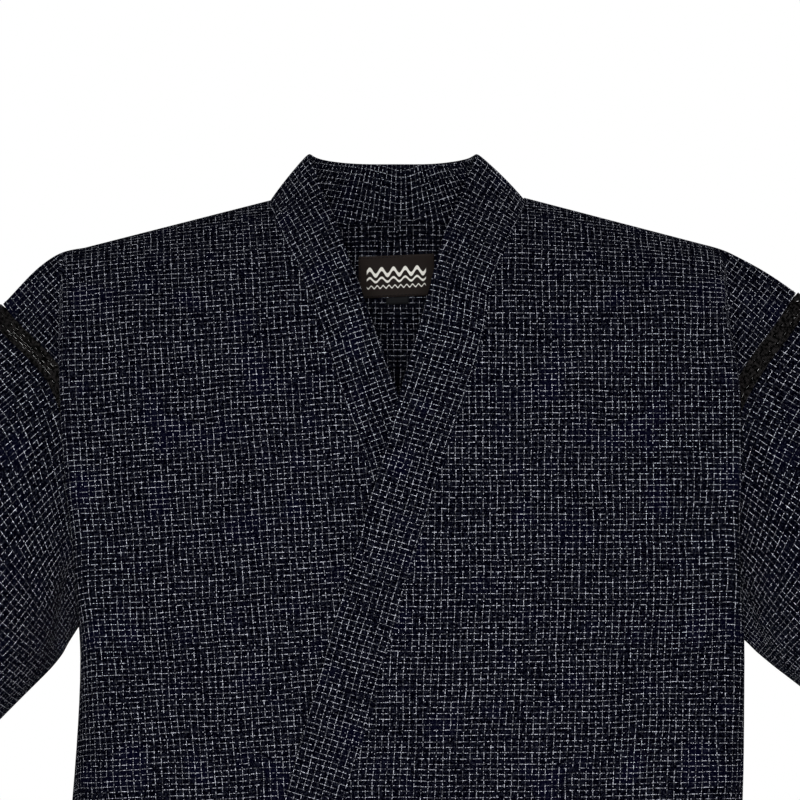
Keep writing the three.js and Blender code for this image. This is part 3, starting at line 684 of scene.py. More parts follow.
# Single ground threads of differing tone, drawn as coarse as a pixel shows them.
def groundTones(tree, look, inMm, woven):
    size = (look["groundThread"],) * 3
    threads = addNode(tree, "ShaderNodeVectorMath", {0: woven, 1: size}, operation="DIVIDE")
    single = addNode(tree, "ShaderNodeVectorMath", {0: threads}, operation="FLOOR")
    tone = addNode(tree, "ShaderNodeTexWhiteNoise", {"Vector": single}, noise_dimensions="2D")
    soft = addNode(tree, "ShaderNodeTexNoise", {"Vector": inMm, "Scale": 0.9, "Detail": 2.0})
    mixed = addNode(tree, "ShaderNodeMix", {
        "Factor": 0.45, "A": tone.outputs["Value"], "B": soft.outputs["Fac"],
    })
    return mixed.outputs["Result"]


def makeCotton(name, look):
    material, tree, shader = newMaterial(name, {"Roughness": 0.95, "Specular IOR Level": 0.0})
    cloth = addNode(tree, "ShaderNodeUVMap", uv_map="cloth")
    inMm = addNode(tree, "ShaderNodeMapping", {"Vector": cloth, "Scale": (1 / mm, 1 / mm, 1)})
    drifted = wander(tree, inMm, look["drift"], inMm, 0.022, 2.0)
    # The weft is beaten up unevenly, so its spacing changes from row to row.
    rows = addNode(tree, "ShaderNodeMapping", {"Vector": drifted, "Scale": (0.003, 0.085, 1)})
    woven = wander(tree, drifted, look["beat"], rows, 1.0, 1.0)
    shaken = wander(tree, woven, look["shake"], inMm, 0.42, 1.0)
    lines = checkLines(tree, look, inMm, shaken)
    tones = groundTones(tree, look, inMm, woven)
    ground = addNode(tree, "ShaderNodeValToRGB", {"Fac": tones})
    ramp, stops = ground.color_ramp, look["toneStops"]
    ramp.elements[0].position, ramp.elements[0].color = stops[0], hexColour(look["deep"])
    ramp.elements[1].position, ramp.elements[1].color = stops[2], hexColour(look["bright"])
    ramp.elements.new(stops[1]).color = hexColour(look["ground"])
    # A bluer navy comes through in faint patches.
    patch = addNode(tree, "ShaderNodeTexNoise", {"Vector": inMm, "Scale": 0.03, "Detail": 1.0})
    blue = addNode(tree, "ShaderNodeMapRange", {
        "Value": patch.outputs["Fac"], "From Min": 0.55, "From Max": 0.75, "To Max": 0.5,
    })
    navy = addNode(tree, "ShaderNodeMix", {
        "Factor": blue, "A": ground.outputs["Color"], "B": hexColour(look["navy"]),
    }, data_type="RGBA")
    colour = addNode(tree, "ShaderNodeMix", {
        "Factor": lines, "A": navy.outputs["Result"], "B": hexColour(look["offWhite"]),
    }, data_type="RGBA")
    tree.links.new(colour.outputs["Result"], shader.inputs["Base Color"])
    height = addNode(tree, "ShaderNodeMath", {0: tones, 1: 0.5, 2: lines}, operation="MULTIPLY_ADD")
    addBump(tree, shader, height, 0.5, 0.25)
    return material


cottonCloth = makeCotton("yarnDyedCheckCotton", cotton)


# Spun sewing thread, dyed near black: round and matt, with a fine twist.
def makeThread(name, colours, roughness, twist):
    material, tree, shader = newMaterial(name, {"Roughness": roughness, "Specular IOR Level": 0.0})
    spot = addNode(tree, "ShaderNodeTexCoord")
    fibre = addNode(tree, "ShaderNodeTexNoise", {
        "Vector": spot.outputs["Object"], "Scale": 1 / (twist * mm), "Detail": 2.0,
    })
    tone = addNode(tree, "ShaderNodeValToRGB", {"Fac": fibre.outputs["Fac"]})
    for element, stop, colour in zip(tone.color_ramp.elements, (0.4, 0.64), colours):
        element.position, element.color = stop, hexColour(colour)
    tree.links.new(tone.outputs["Color"], shader.inputs["Base Color"])
    addBump(tree, shader, fibre.outputs["Fac"], 0.4, 0.1)
    return material


sewingThread = makeThread("spunSewingThread", ("#020203", "#08090d"), 0.9, 0.5)
laceThread = makeThread("cottonLaceThread", ("#010101", "#0f0e0e"), 0.95, 2.0)

stitching = {
    "Pitch": 2.8 * mm, "Stitch Length": 2.3 * mm, "Thread Width": 0.42 * mm, "Material": sewingThread,
}
stitchRow = stitchGroup()
roundThread = threadGroup()


def addStitches(name, lines):
    return addPiece(name, growLines(name, lines, stitchRow, stitching), sewingThread)


print("materials and stitches are ready")


# The body: each half is one piece of cloth from the front hem over the shoulder to the back hem.
body = {
    "thick": 0.9,
    "step": 5,
    "columns": 58,
    "turnColumns": 24,
    "edgeColumns": (0, 0.9, 2.2, 4.5),
    "hem": 22,
    "hemStep": 0.45,
    "seamDeep": 0.55,
    "seamWide": 1.6,
    "ridgeLift": 2,
    "ridgeWide": 14,
    "cloud": 0.5,
    "reliefFade": 30,  # no relief at the edges
    "grainTilt": 0.07,  # the wearer's right front hangs 4 degrees off the straight
    "tiltOver": 120,
    "tiltMiddle": 150,
    "leftTilt": 0.035,  # and the left one 2 degrees, below leftFrom
    "leftFrom": 280,
    "levelWeft": (260, 125, 50),  # the back's weft is level below the first and inside the second
    "turnAfter": (1, 3),  # the grain turns this far past the crease, over so much,
    "turnUntil": (110, 80),  # and down to here, fading over so much
    "grainTurn": {"left": 38, "right": 44},  # degrees, outside the crease
    "grainFrom": (85, 114),  # how far down the armhole the turned grain starts, and its row there
    "foldShare": {-1: 1.3, 1: 2.6},  # the creases of the front and back, against the depths below
    "creases": {  # from across and down, to across and down, width and depth
        ("left", -1): [
            (236, 214, 196, 262, 12, 2.0), (232, 250, 180, 330, 15, 1.6), (240, 60, 206, 170, 18, 1.3),
            (150, 70, 120, 230, 26, -1.0), (70, 150, 36, 330, 22, 0.9), (215, 330, 150, 460, 22, 1.6),
            (120, 420, 40, 520, 24, 1.4), (20, 560, -60, 640, 26, 1.5), (190, 520, 176, 720, 20, 2.2),
            (90, 600, 78, 750, 18, -1.6),
        ],
        ("right", -1): [
            (232, 226, 186, 296, 13, 2.1), (238, 40, 214, 150, 16, 1.2), (226, 300, 150, 420, 20, 1.7),
            (168, 372, 132, 470, 20, 1.5), (120, 120, 104, 260, 28, -0.9), (60, 300, 20, 430, 24, 1.1),
            (100, 470, 20, 560, 26, 1.4), (200, 560, 188, 740, 20, 2.0), (60, 640, 48, 750, 22, -1.4),
        ],
        ("left", 1): [
            (226, 196, 150, 290, 18, 2.4), (214, 150, 130, 190, 16, 1.6), (40, 120, 26, 300, 26, 1.4),
            (190, 330, 120, 480, 24, 2.2), (90, 420, 60, 640, 26, -1.8), (180, 560, 170, 750, 20, 2.4),
        ],
        ("right", 1): [
            (224, 210, 158, 318, 18, 2.3), (210, 140, 140, 172, 15, 1.5), (52, 110, 36, 262, 24, 1.3),
            (184, 350, 130, 470, 22, 2.0), (100, 460, 74, 660, 26, -1.7), (176, 590, 160, 750, 20, 2.3),
        ],
    },
}


# The rows of one half as face, distance down and inner edge.
def bodyRows(side):
    end = collarEndDown(side)
    step = body["step"]
    hem = spaced(cut["length"], end + 1.5 * cut["seamGap"], step)
    front = spaced(end, 0, step)
    turns = np.radians(spaced(5, 90, 5))
    back = spaced(cut["neckDepth"] + 4, cut["length"], step)
    half = cut["seamGap"] / 8
    face = np.concatenate([-np.ones(len(hem) + len(front)), np.ones(len(turns) + len(back))])
    down = np.concatenate([hem, front, cut["neckDepth"] * np.sin(turns), back])
    neck = np.maximum(cut["neckHalf"] * np.cos(turns), half)
    inner = [0 * hem + frontEdge[side["name"]], seamOnRow(side, front), neck, 0 * back + half]
    return face, down, np.concatenate(inner)


def bodyGrid(side):
    face, down, inner = bodyRows(side)
    edges = np.array(body["edgeColumns"])
    creaseX = column(creaseRows, "down", side["name"], down)
    bends = [column(rows, "down", "bend", down) for rows in (frontRows, backRows)]
    bend = np.where(face < 0, *bends)
    start, outer = inner + edges[-1], cut["halfWidth"] - edges[-1]
    shares = np.linspace(0, 1, body["columns"] + 1)[1:]
    turned = np.linspace(0, 1, body["turnColumns"] + 1)[1:] ** 1.25
    across = np.concatenate([
        inner[:, None] + edges,
        lerp(start[:, None], (creaseX - bend)[:, None], shares),
        lerp((creaseX - bend)[:, None], outer, turned),
        cut["halfWidth"] - edges[-2::-1] + 0 * down[:, None],
    ], 1)
    return face, across, down[:, None] + 0 * across


# Outside the crease the grain turns with the armhole's edge, front and back alike.
def turnedMap(side, face, across, points):
    angle = math.radians(body["grainTurn"][side["name"]])

    def grain(point):
        x, z = point[..., 0] * side["sign"], point[..., 2]
        return math.cos(angle) * x - math.sin(angle) * z, -math.sin(angle) * x - math.cos(angle) * z

    out, along = grain(points)
    startDown, startRow = body["grainFrom"]
    fromOut, fromAlong = grain(bodyPoint(side, -1, cut["halfWidth"], startDown))
    ridge = grain(bodyPoint(side, -1, across, 0 * across))[1]
    along = np.where(face[:, None] < 0, along, 2 * ridge - along)
    return out - fromOut + cut["halfWidth"], along - fromAlong + startRow


# Cloth coordinates that keep the weft level over the chest, as the cloth hangs there.
def bodyMap(side, face, across, down, points):
    creaseX = column(creaseRows, "down", side["name"], down)
    share = np.minimum(np.abs(across) / creaseX, 1) - 0.5
    level = [(column(rows, "down", "midZ", down) - column(rows, "down", "creaseZ", down)) * share
             for rows in (frontRows, backRows)]
    onFront = face[:, None] < 0
    below, inside, over = body["levelWeft"]
    hung = np.maximum(ease(down / below), ease((inside - across) / over))
    v = np.where(onFront, down + level[0], -down + (1 - 2 * hung) * level[1])
    u = across + 0.0
    if side["name"] == "right":
        tilt = body["grainTilt"] * ease(v / body["tiltOver"])
        u = u + body["grainTilt"] * np.maximum(v, 0)
        v = v - tilt * (across - body["tiltMiddle"])
    else:
        u = u + body["leftTilt"] * np.maximum(v - body["leftFrom"], 0)
    (after, over), (until, fade) = body["turnAfter"], body["turnUntil"]
    outer = ease((across - creaseX - after) / over) * (1 - ease((down - until) / fade))
    turnedU, turnedV = turnedMap(side, face, across, points)
    return clothMap(lerp(u, turnedU, outer), lerp(v, turnedV, outer))


def bodyRelief(side, face, across, down):
    height = np.zeros(across.shape)
    for onFace in (-1, 1):
        rows = face == onFace
        a, d = across[rows], down[rows]
        relief = creaseRelief(body["creases"][side["name"], onFace], a, d) * body["foldShare"][onFace]
        relief += cloudRelief(a, d, body["cloud"], 11 * onFace + side["sign"] + 20) * ease(d / 90)
        height[rows] = relief
    fade = body["reliefFade"]
    height *= ease((cut["halfWidth"] - across) / fade) * ease((across - across[:, :1]) / fade)
    height += hemStep(body, down, cut["length"])
    belowArmhole = ease((down - cut["armhole"] + 4) / 8)
    height -= body["seamDeep"] * bell(cut["halfWidth"] - across, body["seamWide"]) * belowArmhole
    onCentre = (face[:, None] > 0) & (down > cut["neckDepth"])
    height -= body["seamDeep"] * bell(across, body["seamWide"]) * onCentre
    return height


def smoothRidge(points, down):
    wide = body["ridgeWide"]
    near = (1 - ease((down[:, 0] - wide) / wide))[:, None, None]
    points[..., 2] += body["ridgeLift"] * bell(down, wide)
    for turn in range(2):
        soft = points.copy()
        soft[1:-1] = smoothed(points)
        points = lerp(points, soft, near)
    return points


def addBodyHalf(side):
    face, across, down = bodyGrid(side)
    points = np.empty(across.shape + (3,))
    for onFace in (-1, 1):
        rows = face == onFace
        points[rows] = bodyPoint(side, onFace, across[rows], down[rows])
    points = smoothRidge(points, down)
    outward = np.zeros(points.shape)
    outward[..., 1] = face[:, None] * ease((down - 60) / 60)
    normals = gridNormals(points, outward)
    uv = bodyMap(side, face, across, down, points)
    relief = bodyRelief(side, face, across, down)
    points = points + normals * relief[..., None]
    name = named("body", side)
    mesh = gridMesh(name, points, uv, normals)
    return addPiece(name, mesh, cottonCloth, ["body_" + side["name"]], thick=body["thick"])


def bodyStitches(side):
    hemDown, lines = cut["length"] - body["hem"] + 2, []
    for face, start in ((-1, frontEdge[side["name"]]), (1, 0)):
        across = spaced(start + 2, cut["halfWidth"] - 3, 4)
        lines.append(bodyLine(side, face, across, hemDown, 1.0))
    for face in (-1, 1):
        down = spaced(2, cut["armhole"] - 3, 3)
        lines.append(bodyLine(side, face, cut["halfWidth"] - 3, down, 0.5))
    return addStitches(named("bodyStitches", side), lines)


for side in sides.values():
    half = addBodyHalf(side)
    stitches = bodyStitches(side)
print("the body is sewn")


# The collar: one doubled band with a soft fold along its free edge.
collar = {
    "thick": 2.6,
    "crown": 0.9,
    "overlap": 1.2,  # the band closes over the body's edge
    "cloud": 0.35,
    "tiltOver": 55,
    "standsTo": 50,  # down to here it stands up off the shoulder, and over laysOver it comes to lie
    "laysOver": 20,
    "backFade": 50,
}


# The seam and the free edge of half the collar, station by station from the centre back.
def collarHalf(side):
    turns = spaced(90, 9, 4.5)
    across = cut["neckHalf"] * np.cos(np.radians(turns))
    down = cut["neckDepth"] * np.sin(np.radians(turns))
    seamBack = bodyPoint(side, 1, across, down)
    freeBack = points3(*columns(backCollar, "turn", "freeX freeY freeZ", turns))
    end = collarEndDown(side) - 1.5 * cut["seamGap"]
    down = spaced(0, end, 5)
    across = seamOnRow(side, down)
    seamFront = bodyPoint(side, -1, across, down)
    drop = -seamFront[:, 2]
    standing = points3(*columns(sideCollar, "drop", "freeX freeY freeZ", drop))
    toEnd = np.clip((-drop - cut["collarEnd"]) / collar["tiltOver"], 0, 1)
    height = -drop + cut["bandTilt"] * toEnd
    freeBack[:, 0] *= side["sign"]
    standing[:, 0] *= side["sign"]
    lying = frontAt(side, freeAcross(side, height), height, 0 * height)
    lies = ease((drop - collar["standsTo"]) / collar["laysOver"])
    freeFront = lerp(standing, lying, lies[:, None])
    free = np.concatenate([freeBack, freeFront])
    wider = column(openCollar, "drop", side["name"], -free[:, 2])
    # The centre back stays where it is.
    wider = wider * ease(np.abs(free[:, 0]) / collar["backFade"] + (free[:, 1] < 0))
    free[:, 0] += wider * side["sign"]
    return np.concatenate([seamBack, seamFront]), free


def addCollar():
    seams, frees = zip(collarHalf(sides["right"]), collarHalf(sides["left"]))
    seam = np.concatenate([seams[0][:0:-1], seams[1]])
    free = np.concatenate([frees[0][:0:-1], frees[1]])
    for turn in range(2):
        for line in (seam, free):
            line[1:-1] = smoothed(line)
    outward = unit(np.cross(np.gradient(seam, axis=0), free - seam))
    outward *= -np.sign(outward[-1, 1])
    start = seam - unit(free - seam) * collar["overlap"]

    def relief(u, v):
        return cloudRelief(3 * u, v, collar["cloud"], 5)

    mesh = bandMesh("collarBand", start, free, outward, collar["thick"], collar["crown"], relief, 24)
    band = addPiece("collarBand", mesh, cottonCloth, ["collar"])


addCollar()
print("the collar is sewn")


# The sleeves, which grow out of the armholes into an even ring.
sleeve = {
    "thick": 0.9,
    "step": 5,
    "around": 110,
    "hem": 20,
    "hemStep": 0.45,
    "ringAcross": 250,  # the middle of the ring, before it is pushed out along the sleeve
    "ringDown": 178,
    "ringLong": (113, 107),  # half its length and depth, at the armhole and at the cuff
    "ringDeep": (37, 47),
    "ringFrom": 130,  # how far out it is an even ring
    "cloud": 0.4,
    "reliefFade": 25,
    "foldShare": 2.1,
    "creases": [  # along and round the sleeve, each to its own end, then width and depth
        (16, 60, 120, 92, 14, 2.0), (30, 150, 170, 140, 16, 1.6), (20, 196, 110, 232, 12, 2.2),
        (14, 330, 150, 372, 16, 1.9), (60, 420, 220, 410, 16, 1.4), (12, 282, 90, 262, 12, 2.0),
        (120, 60, 240, 66, 18, 1.2), (130, 210, 250, 196, 16, -1.2), (140, 330, 250, 320, 18, 1.3),
    ],
}


def armhole(side, share):
    turn = share - np.floor(share)
    down = np.where(turn <= 0.5, turn, 1 - turn) * 2 * cut["armhole"]
    front, back = [bodyPoint(side, face, cut["halfWidth"], down) for face in (-1, 1)]
    return np.where((turn <= 0.5)[..., None], front, back)


def sleevePoint(side, share, along):
    share, along = np.broadcast_arrays(share, along)
    turned = side["sleeveAngle"] + side["sleeveBend"] * along / cut["sleeve"]
    mean = np.radians((side["sleeveAngle"] + turned) / 2)
    angle = np.radians(turned)
    outX, outZ = along * np.cos(mean) * side["sign"], -along * np.sin(mean)
    halfLong = lerp(*sleeve["ringLong"], along / cut["sleeve"])
    halfDeep = lerp(*sleeve["ringDeep"], ease(along / cut["sleeve"]))
    turn = 2 * math.pi * share
    ringX = sleeve["ringAcross"] * side["sign"] + outX
    ringX = ringX + np.sin(angle) * side["sign"] * halfLong * np.cos(turn)
    ringZ = -sleeve["ringDown"] + outZ + np.cos(angle) * halfLong * np.cos(turn)
    start = armhole(side, share) + points3(outX, 0, outZ)
    ring = points3(ringX, -halfDeep * np.sin(turn), ringZ)
    return lerp(start, ring, ease(along / sleeve["ringFrom"])[..., None])


def sleeveNormal(side, share, along):
    def surface(run, out):
        return sleevePoint(side, run / cut["round"], out)

    return normalOf(surface, share * cut["round"], along, side["sign"])


# A line round the sleeve, lifted off it. The lift's direction is taken no nearer the armhole's seam
# than a normal can be.
def sleeveLine(side, share, along, lift):
    away = sleeveNormal(side, share, np.maximum(along, 0.6) + 0 * share)
    return sleevePoint(side, share, along) + away * lift


def addSleeve(side):
    first, last = cut["laceWidth"] + 2 * cut["seamGap"], cut["laceWidth"] + cut["sleeve"]
    along = np.append([first, first + 1, first + 3], spaced(first + 6, last, sleeve["step"]))[:, None]
    share = np.arange(sleeve["around"]) / sleeve["around"]
    points = sleevePoint(side, share[None], along)
    normals = sleeveNormal(side, share[None] + 0 * along, along + 0 * share)
    u, v = along + 0 * share, cut["round"] * share + 0 * along
    relief = sleeve["foldShare"] * creaseRelief(sleeve["creases"], u, v)
    relief += cloudRelief(u, v, sleeve["cloud"], 3 + side["sign"])
    relief *= ease((u - first) / sleeve["reliefFade"])
    relief += hemStep(sleeve, u, last)
    points = points + normals * relief[..., None]
    round_ = np.arange(sleeve["around"] + 1) / sleeve["around"]
    name = named("sleeve", side)
    mesh = gridMesh(name, points, clothMap(along, cut["round"] * round_), normals, wrapped=True)
    piece = addPiece(name, mesh, cottonCloth, ["sleeve_" + side["name"]], thick=sleeve["thick"])
    closed = np.linspace(0, 1, 161)
    rows = ((first + 3, 0.5), (last - sleeve["hem"] + 2, 1.0))
    lines = [sleeveLine(side, closed, at, lift) for at, lift in rows]
    stitches = addStitches(named("sleeveStitches", side), lines)


for side in sides.values():
    addSleeve(side)
print("the sleeves are sewn")


# The lace let in round each armhole: soft cotton threads, dyed brown black, that run lengthwise in a
# close tape and part in two rows of slits.
lace = {
    "thread": 1.06,
    "strands": [0.45 + 0.98 * i for i in range(13)],
    # Which strands part, to which side, and where in the beat.
    "slits": {3: (-1, 0), 4: (1, 0), 8: (-1, math.pi), 9: (1, math.pi)},
    "slitLong": 7.4,
    "slitWide": 0.5,
    "slitWideOnTop": {"left": 1.2, "right": 0.5},
    "topRun": 12,
    "slitBehind": 0.25,  # the share of that width on the back
    "slitRound": 0.6,
    "uneven": (0.03, 0.05),  # along the cloth and off it
    "step": 1.6,
    "sides": 6,
    "seed": 8,
}


def addLace(side):
    chance = np.random.default_rng(lace["seed"] + side["sign"])
    count = int(cut["round"] / lace["step"])
    share = np.linspace(0, 1, count + 1)
    nearTop = bell(np.minimum(share, 1 - share) * cut["round"], lace["topRun"])
    wide = lerp(lace["slitWide"], lace["slitWideOnTop"][side["name"]], nearTop)
    wide = wide * np.where(share < 0.5, 1, lerp(lace["slitBehind"], 1, nearTop))
    turns = round(cut["round"] / lace["slitLong"])
    lines = []
    for i, middle in enumerate(lace["strands"]):
        out = middle + chance.normal(0, lace["uneven"][0], count + 1)
        if i in lace["slits"]:
            way, phase = lace["slits"][i]
            beat = 2 * math.pi * turns * share + phase + 0.8 * np.sin(14 * math.pi * share)
            out = out + way * wide * np.clip(np.sin(beat), 0, 1) ** lace["slitRound"]
        out[-1] = out[0]
        lift = chance.normal(0, lace["uneven"][1], (count + 1, 1))
        lift[-1] = lift[0]
        lines.append(sleeveLine(side, share, out, lift))
    name = named("lace", side)
    mesh = growLines(name, lines, roundThread, {
        "Thread Width": lace["thread"] * mm, "Sides": lace["sides"], "Material": laceThread,
    })
    piece = addPiece(name, mesh, laceThread, ["lace_" + side["name"]])


for side in sides.values():
    addLace(side)
print("the lace is let in")


# The woven label and the size tab inside the back.
label = {
    "acrossFrom": -29.5,
    "acrossTo": 28,
    "heights": (-30, -61.3),
    "tabAcross": 8.6,
    "tabHeights": (-61.6, -67),
    "tilt": 0.05,
    "thick": 0.5,
    "lift": 1.4,
    "ground": "#080606",
    "weave": "#14100e",
    "figure": "#8a8883",
    # Three waves: how far below the label's middle, swing, length and width. Then where they end.
    "waves": ((-3.5, 2.4, 9.0, 1.5), (2.2, 1.6, 9.0, 0.8), (7.6, 1.0, 4.5, 0.45)),
    "waveEnds": (22.8, 22.2),
    "curl": 1,
}


# A place on the inner side of the back, lifted off it. The lift runs along y, so it is a bit longer.
def backPatch(x, height, lift):
    x, height = np.broadcast_arrays(x, height + label["tilt"] * x)
    across = np.abs(x)
    down = downAt(sides["left"], across, height, 1)
    point = bodyPoint(sides["left"], 1, across, down)
    point[..., 0] = x
    point[..., 1] -= lift / 0.9
    return point


# Where a pattern of level waves shows.
def waveFigure(tree, look, inMm):
    spot = addNode(tree, "ShaderNodeSeparateXYZ", {0: inMm})
    x, y = spot.outputs["X"], spot.outputs["Y"]
    figure = 0
    for middle, swing, wave, wide in look["waves"]:
        phase = addNode(tree, "ShaderNodeMath", {0: x, 1: 2 * math.pi / wave}, operation="MULTIPLY")
        swung = addNode(tree, "ShaderNodeMath", {0: phase}, operation="SINE")
        line = addNode(tree, "ShaderNodeMath", {0: swung, 1: swing, 2: middle},
                       operation="MULTIPLY_ADD")
        apart = addNode(tree, "ShaderNodeMath", {0: y, 1: line}, operation="SUBTRACT")
        off = addNode(tree, "ShaderNodeMath", {0: apart}, operation="ABSOLUTE")
        inside = addNode(tree, "ShaderNodeMapRange", {
            "Value": off, "From Min": wide + 0.3, "From Max": wide - 0.3,
        })
        figure = addNode(tree, "ShaderNodeMath", {0: figure, 1: inside}, operation="MAXIMUM")
    ends = addNode(tree, "ShaderNodeMath", {0: x}, operation="ABSOLUTE")
    kept = addNode(tree, "ShaderNodeMapRange", {
        "Value": ends, "From Min": look["waveEnds"][0], "From Max": look["waveEnds"][1],
    })
    return addNode(tree, "ShaderNodeMath", {0: figure, 1: kept}, operation="MULTIPLY")


# Label satin, woven in fine ribs: brown black and almost matt, with an off-white pattern.
def makeLabelSatin(name, look, figured):
    material, tree, shader = newMaterial(name, {"Roughness": 0.65, "Specular IOR Level": 0.02})
    cloth = addNode(tree, "ShaderNodeUVMap", uv_map="cloth")
    inMm = addNode(tree, "ShaderNodeMapping", {"Vector": cloth, "Scale": (1 / mm, 1 / mm, 1)})
    rib = addNode(tree, "ShaderNodeTexWave", {"Vector": inMm, "Scale": 0.55, "Distortion": 0.6},
                  bands_direction="DIAGONAL")
    ground = addNode(tree, "ShaderNodeMix", {
        "Factor": rib.outputs["Fac"], "A": hexColour(look["ground"]), "B": hexColour(look["weave"]),
    }, data_type="RGBA")
    colour = ground.outputs["Result"]
    if figured:
        colour = addNode(tree, "ShaderNodeMix", {
            "Factor": waveFigure(tree, look, inMm), "A": colour, "B": hexColour(look["figure"]),
        }, data_type="RGBA").outputs["Result"]
    tree.links.new(colour, shader.inputs["Base Color"])
    addBump(tree, shader, rib.outputs["Fac"], 0.3, 0.1)
    return material


# A patch sewn inside the back. Curl lifts its side and top edges off the cloth.
def addPatch(name, fromX, toX, heights, curl, material, node):
    x = spaced(fromX, toX, 1.6)
    height = spaced(heights[0], heights[1], 1.6)[:, None]
    points = backPatch(x, height, label["lift"])
    normals = gridNormals(points, (0, -1, 0))
    u = x - (fromX + toX) / 2 + 0 * height
    v = (heights[0] + heights[1]) / 2 - height + 0 * x
    topEdge = bell(heights[0] - height, 5) * 0.3 * np.sin(x / 9)
    relief = curl * (bell(toX - x, 7) * 0.9 + topEdge)
    points = points + normals * np.clip(relief, -0.2, None)[..., None]
    mesh = gridMesh(name, points, clothMap(u, v), normals)
    return addPiece(name, mesh, material, [node], thick=label["thick"])


def addLabel():
    satin = makeLabelSatin("wovenLabelSatin", label, True)
    black = {**label, "ground": "#040405", "weave": "#090a0b"}
    tabSatin = makeLabelSatin("blackTabSatin", black, False)
    patch = addPatch("wovenLabel", label["acrossFrom"], label["acrossTo"], label["heights"],
                     label["curl"], satin, "label")
    tab = addPatch("sizeTab", -label["tabAcross"], label["tabAcross"], label["tabHeights"],
                   0, tabSatin, "size_tab")
    inset = 1.3
    x = spaced(label["acrossFrom"] + inset, label["acrossTo"] - inset, 2)
    top, low = label["heights"][0] - inset, label["heights"][1] + inset
    height = spaced(top, low, 2)
    lift = label["lift"] + 0.3
    rows = ((x, top), (x, low), (x[0] + 0 * height, height))
    lines = [backPatch(across, at, lift) for across, at in rows]
    stitches = addStitches("labelStitches", lines)


addLabel()
print("the label is sewn in")


# The outer ties in a bow on the wearer's right hip. Rows are right, up and out from the knot, then
# the strip's width and how far it is turned.
tie = {
    "wide": 22,
    "thick": 1.7,
    "creased": 0.5,
    "knotAcross": 160,
    "knotHeight": -553,
    "knotLift": 7.5,
    "knotSize": (8.2, 9.6, 6.6),
    # Grooves drawn into the knot: deep, its line as a x + b y + c = 0, wide, and beyond which x.
    "knotFolds": ((0.05, 1, -0.25, -0.3, 0.1, -1), (0.06, 1, 0.2, 0.35, 0.09, -1),
                  (0.05, -0.5, 1, 0, 0.08, 0.55)),
    # The front strap: side, across, height, wide and lift.
    "frontStrap": [(1, -114.2, -552.5, 22, 0), (-1, 124, -552.5, 21, 4.6), (-1, 138, -553, 16, 3.6),
                   (-1, 153.4, -553, 9, 3.6)],
    "sideStrap": {"from": 294, "to": 166.6, "slope": 0.05, "wideAtKnot": 9, "widens": 50,
                  "lifts": (3.6, 1.8), "lowersFrom": 270, "lowersOver": 24},
    "paths": {
        "tie_loop_front": [
            (6.8, 1, 3.2, 9, 0), (24, 2, 6, 18, 0), (44, 0, 7, 22, 0), (58, -5, 4.5, 22, 0),
            (61, -7, 0.5, 22, 0), (56, -7, -1.4, 22, 0), (42, -4, -1.4, 21, 0),
            (24, -2, -0.9, 16, 0), (8, -1, -0.9, 8, 0),
        ],
        "tie_loop_side": [
            (-6.8, 1, 3.2, 9, 0), (-22, 1, 6.5, 18, 0), (-41, -3, 7, 22, 0), (-54, -9, 4, 22, 0),
            (-57, -11, 0.2, 22, 0), (-52, -10, -1.2, 22, 0), (-38, -6, -1.2, 20, 0),
            (-22, -3, -0.9, 15, 0), (-8, -1, -0.9, 8, 0),
        ],
        "tie_end_front": [
            (5.2, -9.9, 1, 8, 78), (10, -24, 0.5, 15, 76), (14, -52, -2, 21, 80),
            (18, -84, -2.4, 22, 84), (20, -116, -2.2, 22, 86),
        ],
        "tie_end_side": [
            (-5.2, -10, 1.4, 8, 104), (-11, -24, 1, 15, 106), (-19, -50, -1, 21, 104),
            (-26, -80, -1.6, 22, 100), (-30, -104, -1.4, 22, 98),
        ],
    },
}


def knotFrame():
    centre, base = [frontAt(sides["right"], tie["knotAcross"], tie["knotHeight"], lift)
                    for lift in (tie["knotLift"], 0)]
    out = unit(centre - base)
    up = unit(np.array([0, 0, 1]) - out * out[2])
    return centre, np.cross(up, out), up, out


def pathRows(rows, steps=7):
    rows = np.array(rows, float)
    names = [str(i) for i in range(rows.shape[1])]
    keyed = dict(zip(names, rows.T), at=np.arange(len(rows), dtype=float))
    at = np.linspace(0, len(rows) - 1, (len(rows) - 1) * steps + 1)
    return [column(keyed, "at", name, at) for name in names]


# A doubled strip of cloth, gathered into creases where it is narrow.
def stripPiece(name, node, start, end):
    outward = unit(np.cross(np.gradient((start + end) / 2, axis=0), end - start))
    wide = length(end - start).max()

    def relief(u, v):
        gather = np.clip(1 - u.max(axis=1, keepdims=True) / wide, 0, 1)
        return tie["creased"] * gather * np.cos(u * 2.2)

    mesh = bandMesh(name, start, end, outward, tie["thick"], 0.3, relief, 16)
    return addPiece(name, mesh, cottonCloth, [node])


def addBow(centre, right, up, out):
    for node, rows in tie["paths"].items():
        toRight, toUp, toOut, wide, turn = pathRows(rows)
        middle = centre + toRight[:, None] * right + toUp[:, None] * up + toOut[:, None] * out
        angle = np.radians(turn + 90)[:, None]
        edge = (right * np.cos(angle) + up * np.sin(angle)) * wide[:, None] / 2
        name = "".join(part.title() if i else part for i, part in enumerate(node.split("_")))
        strip = stripPiece(name, node, middle - edge, middle + edge)


def addFrontStrap():
    edges = []
    for way in (-0.5, 0.5):
        line = [frontAt(sides["left" if sign > 0 else "right"], across, z + way * wide, lift)
                for sign, across, z, wide, lift in tie["frontStrap"]]
        edges.append(np.stack(pathRows(line, 6), -1))
    return stripPiece("tieStrapFront", "tie_strap_front", *edges)


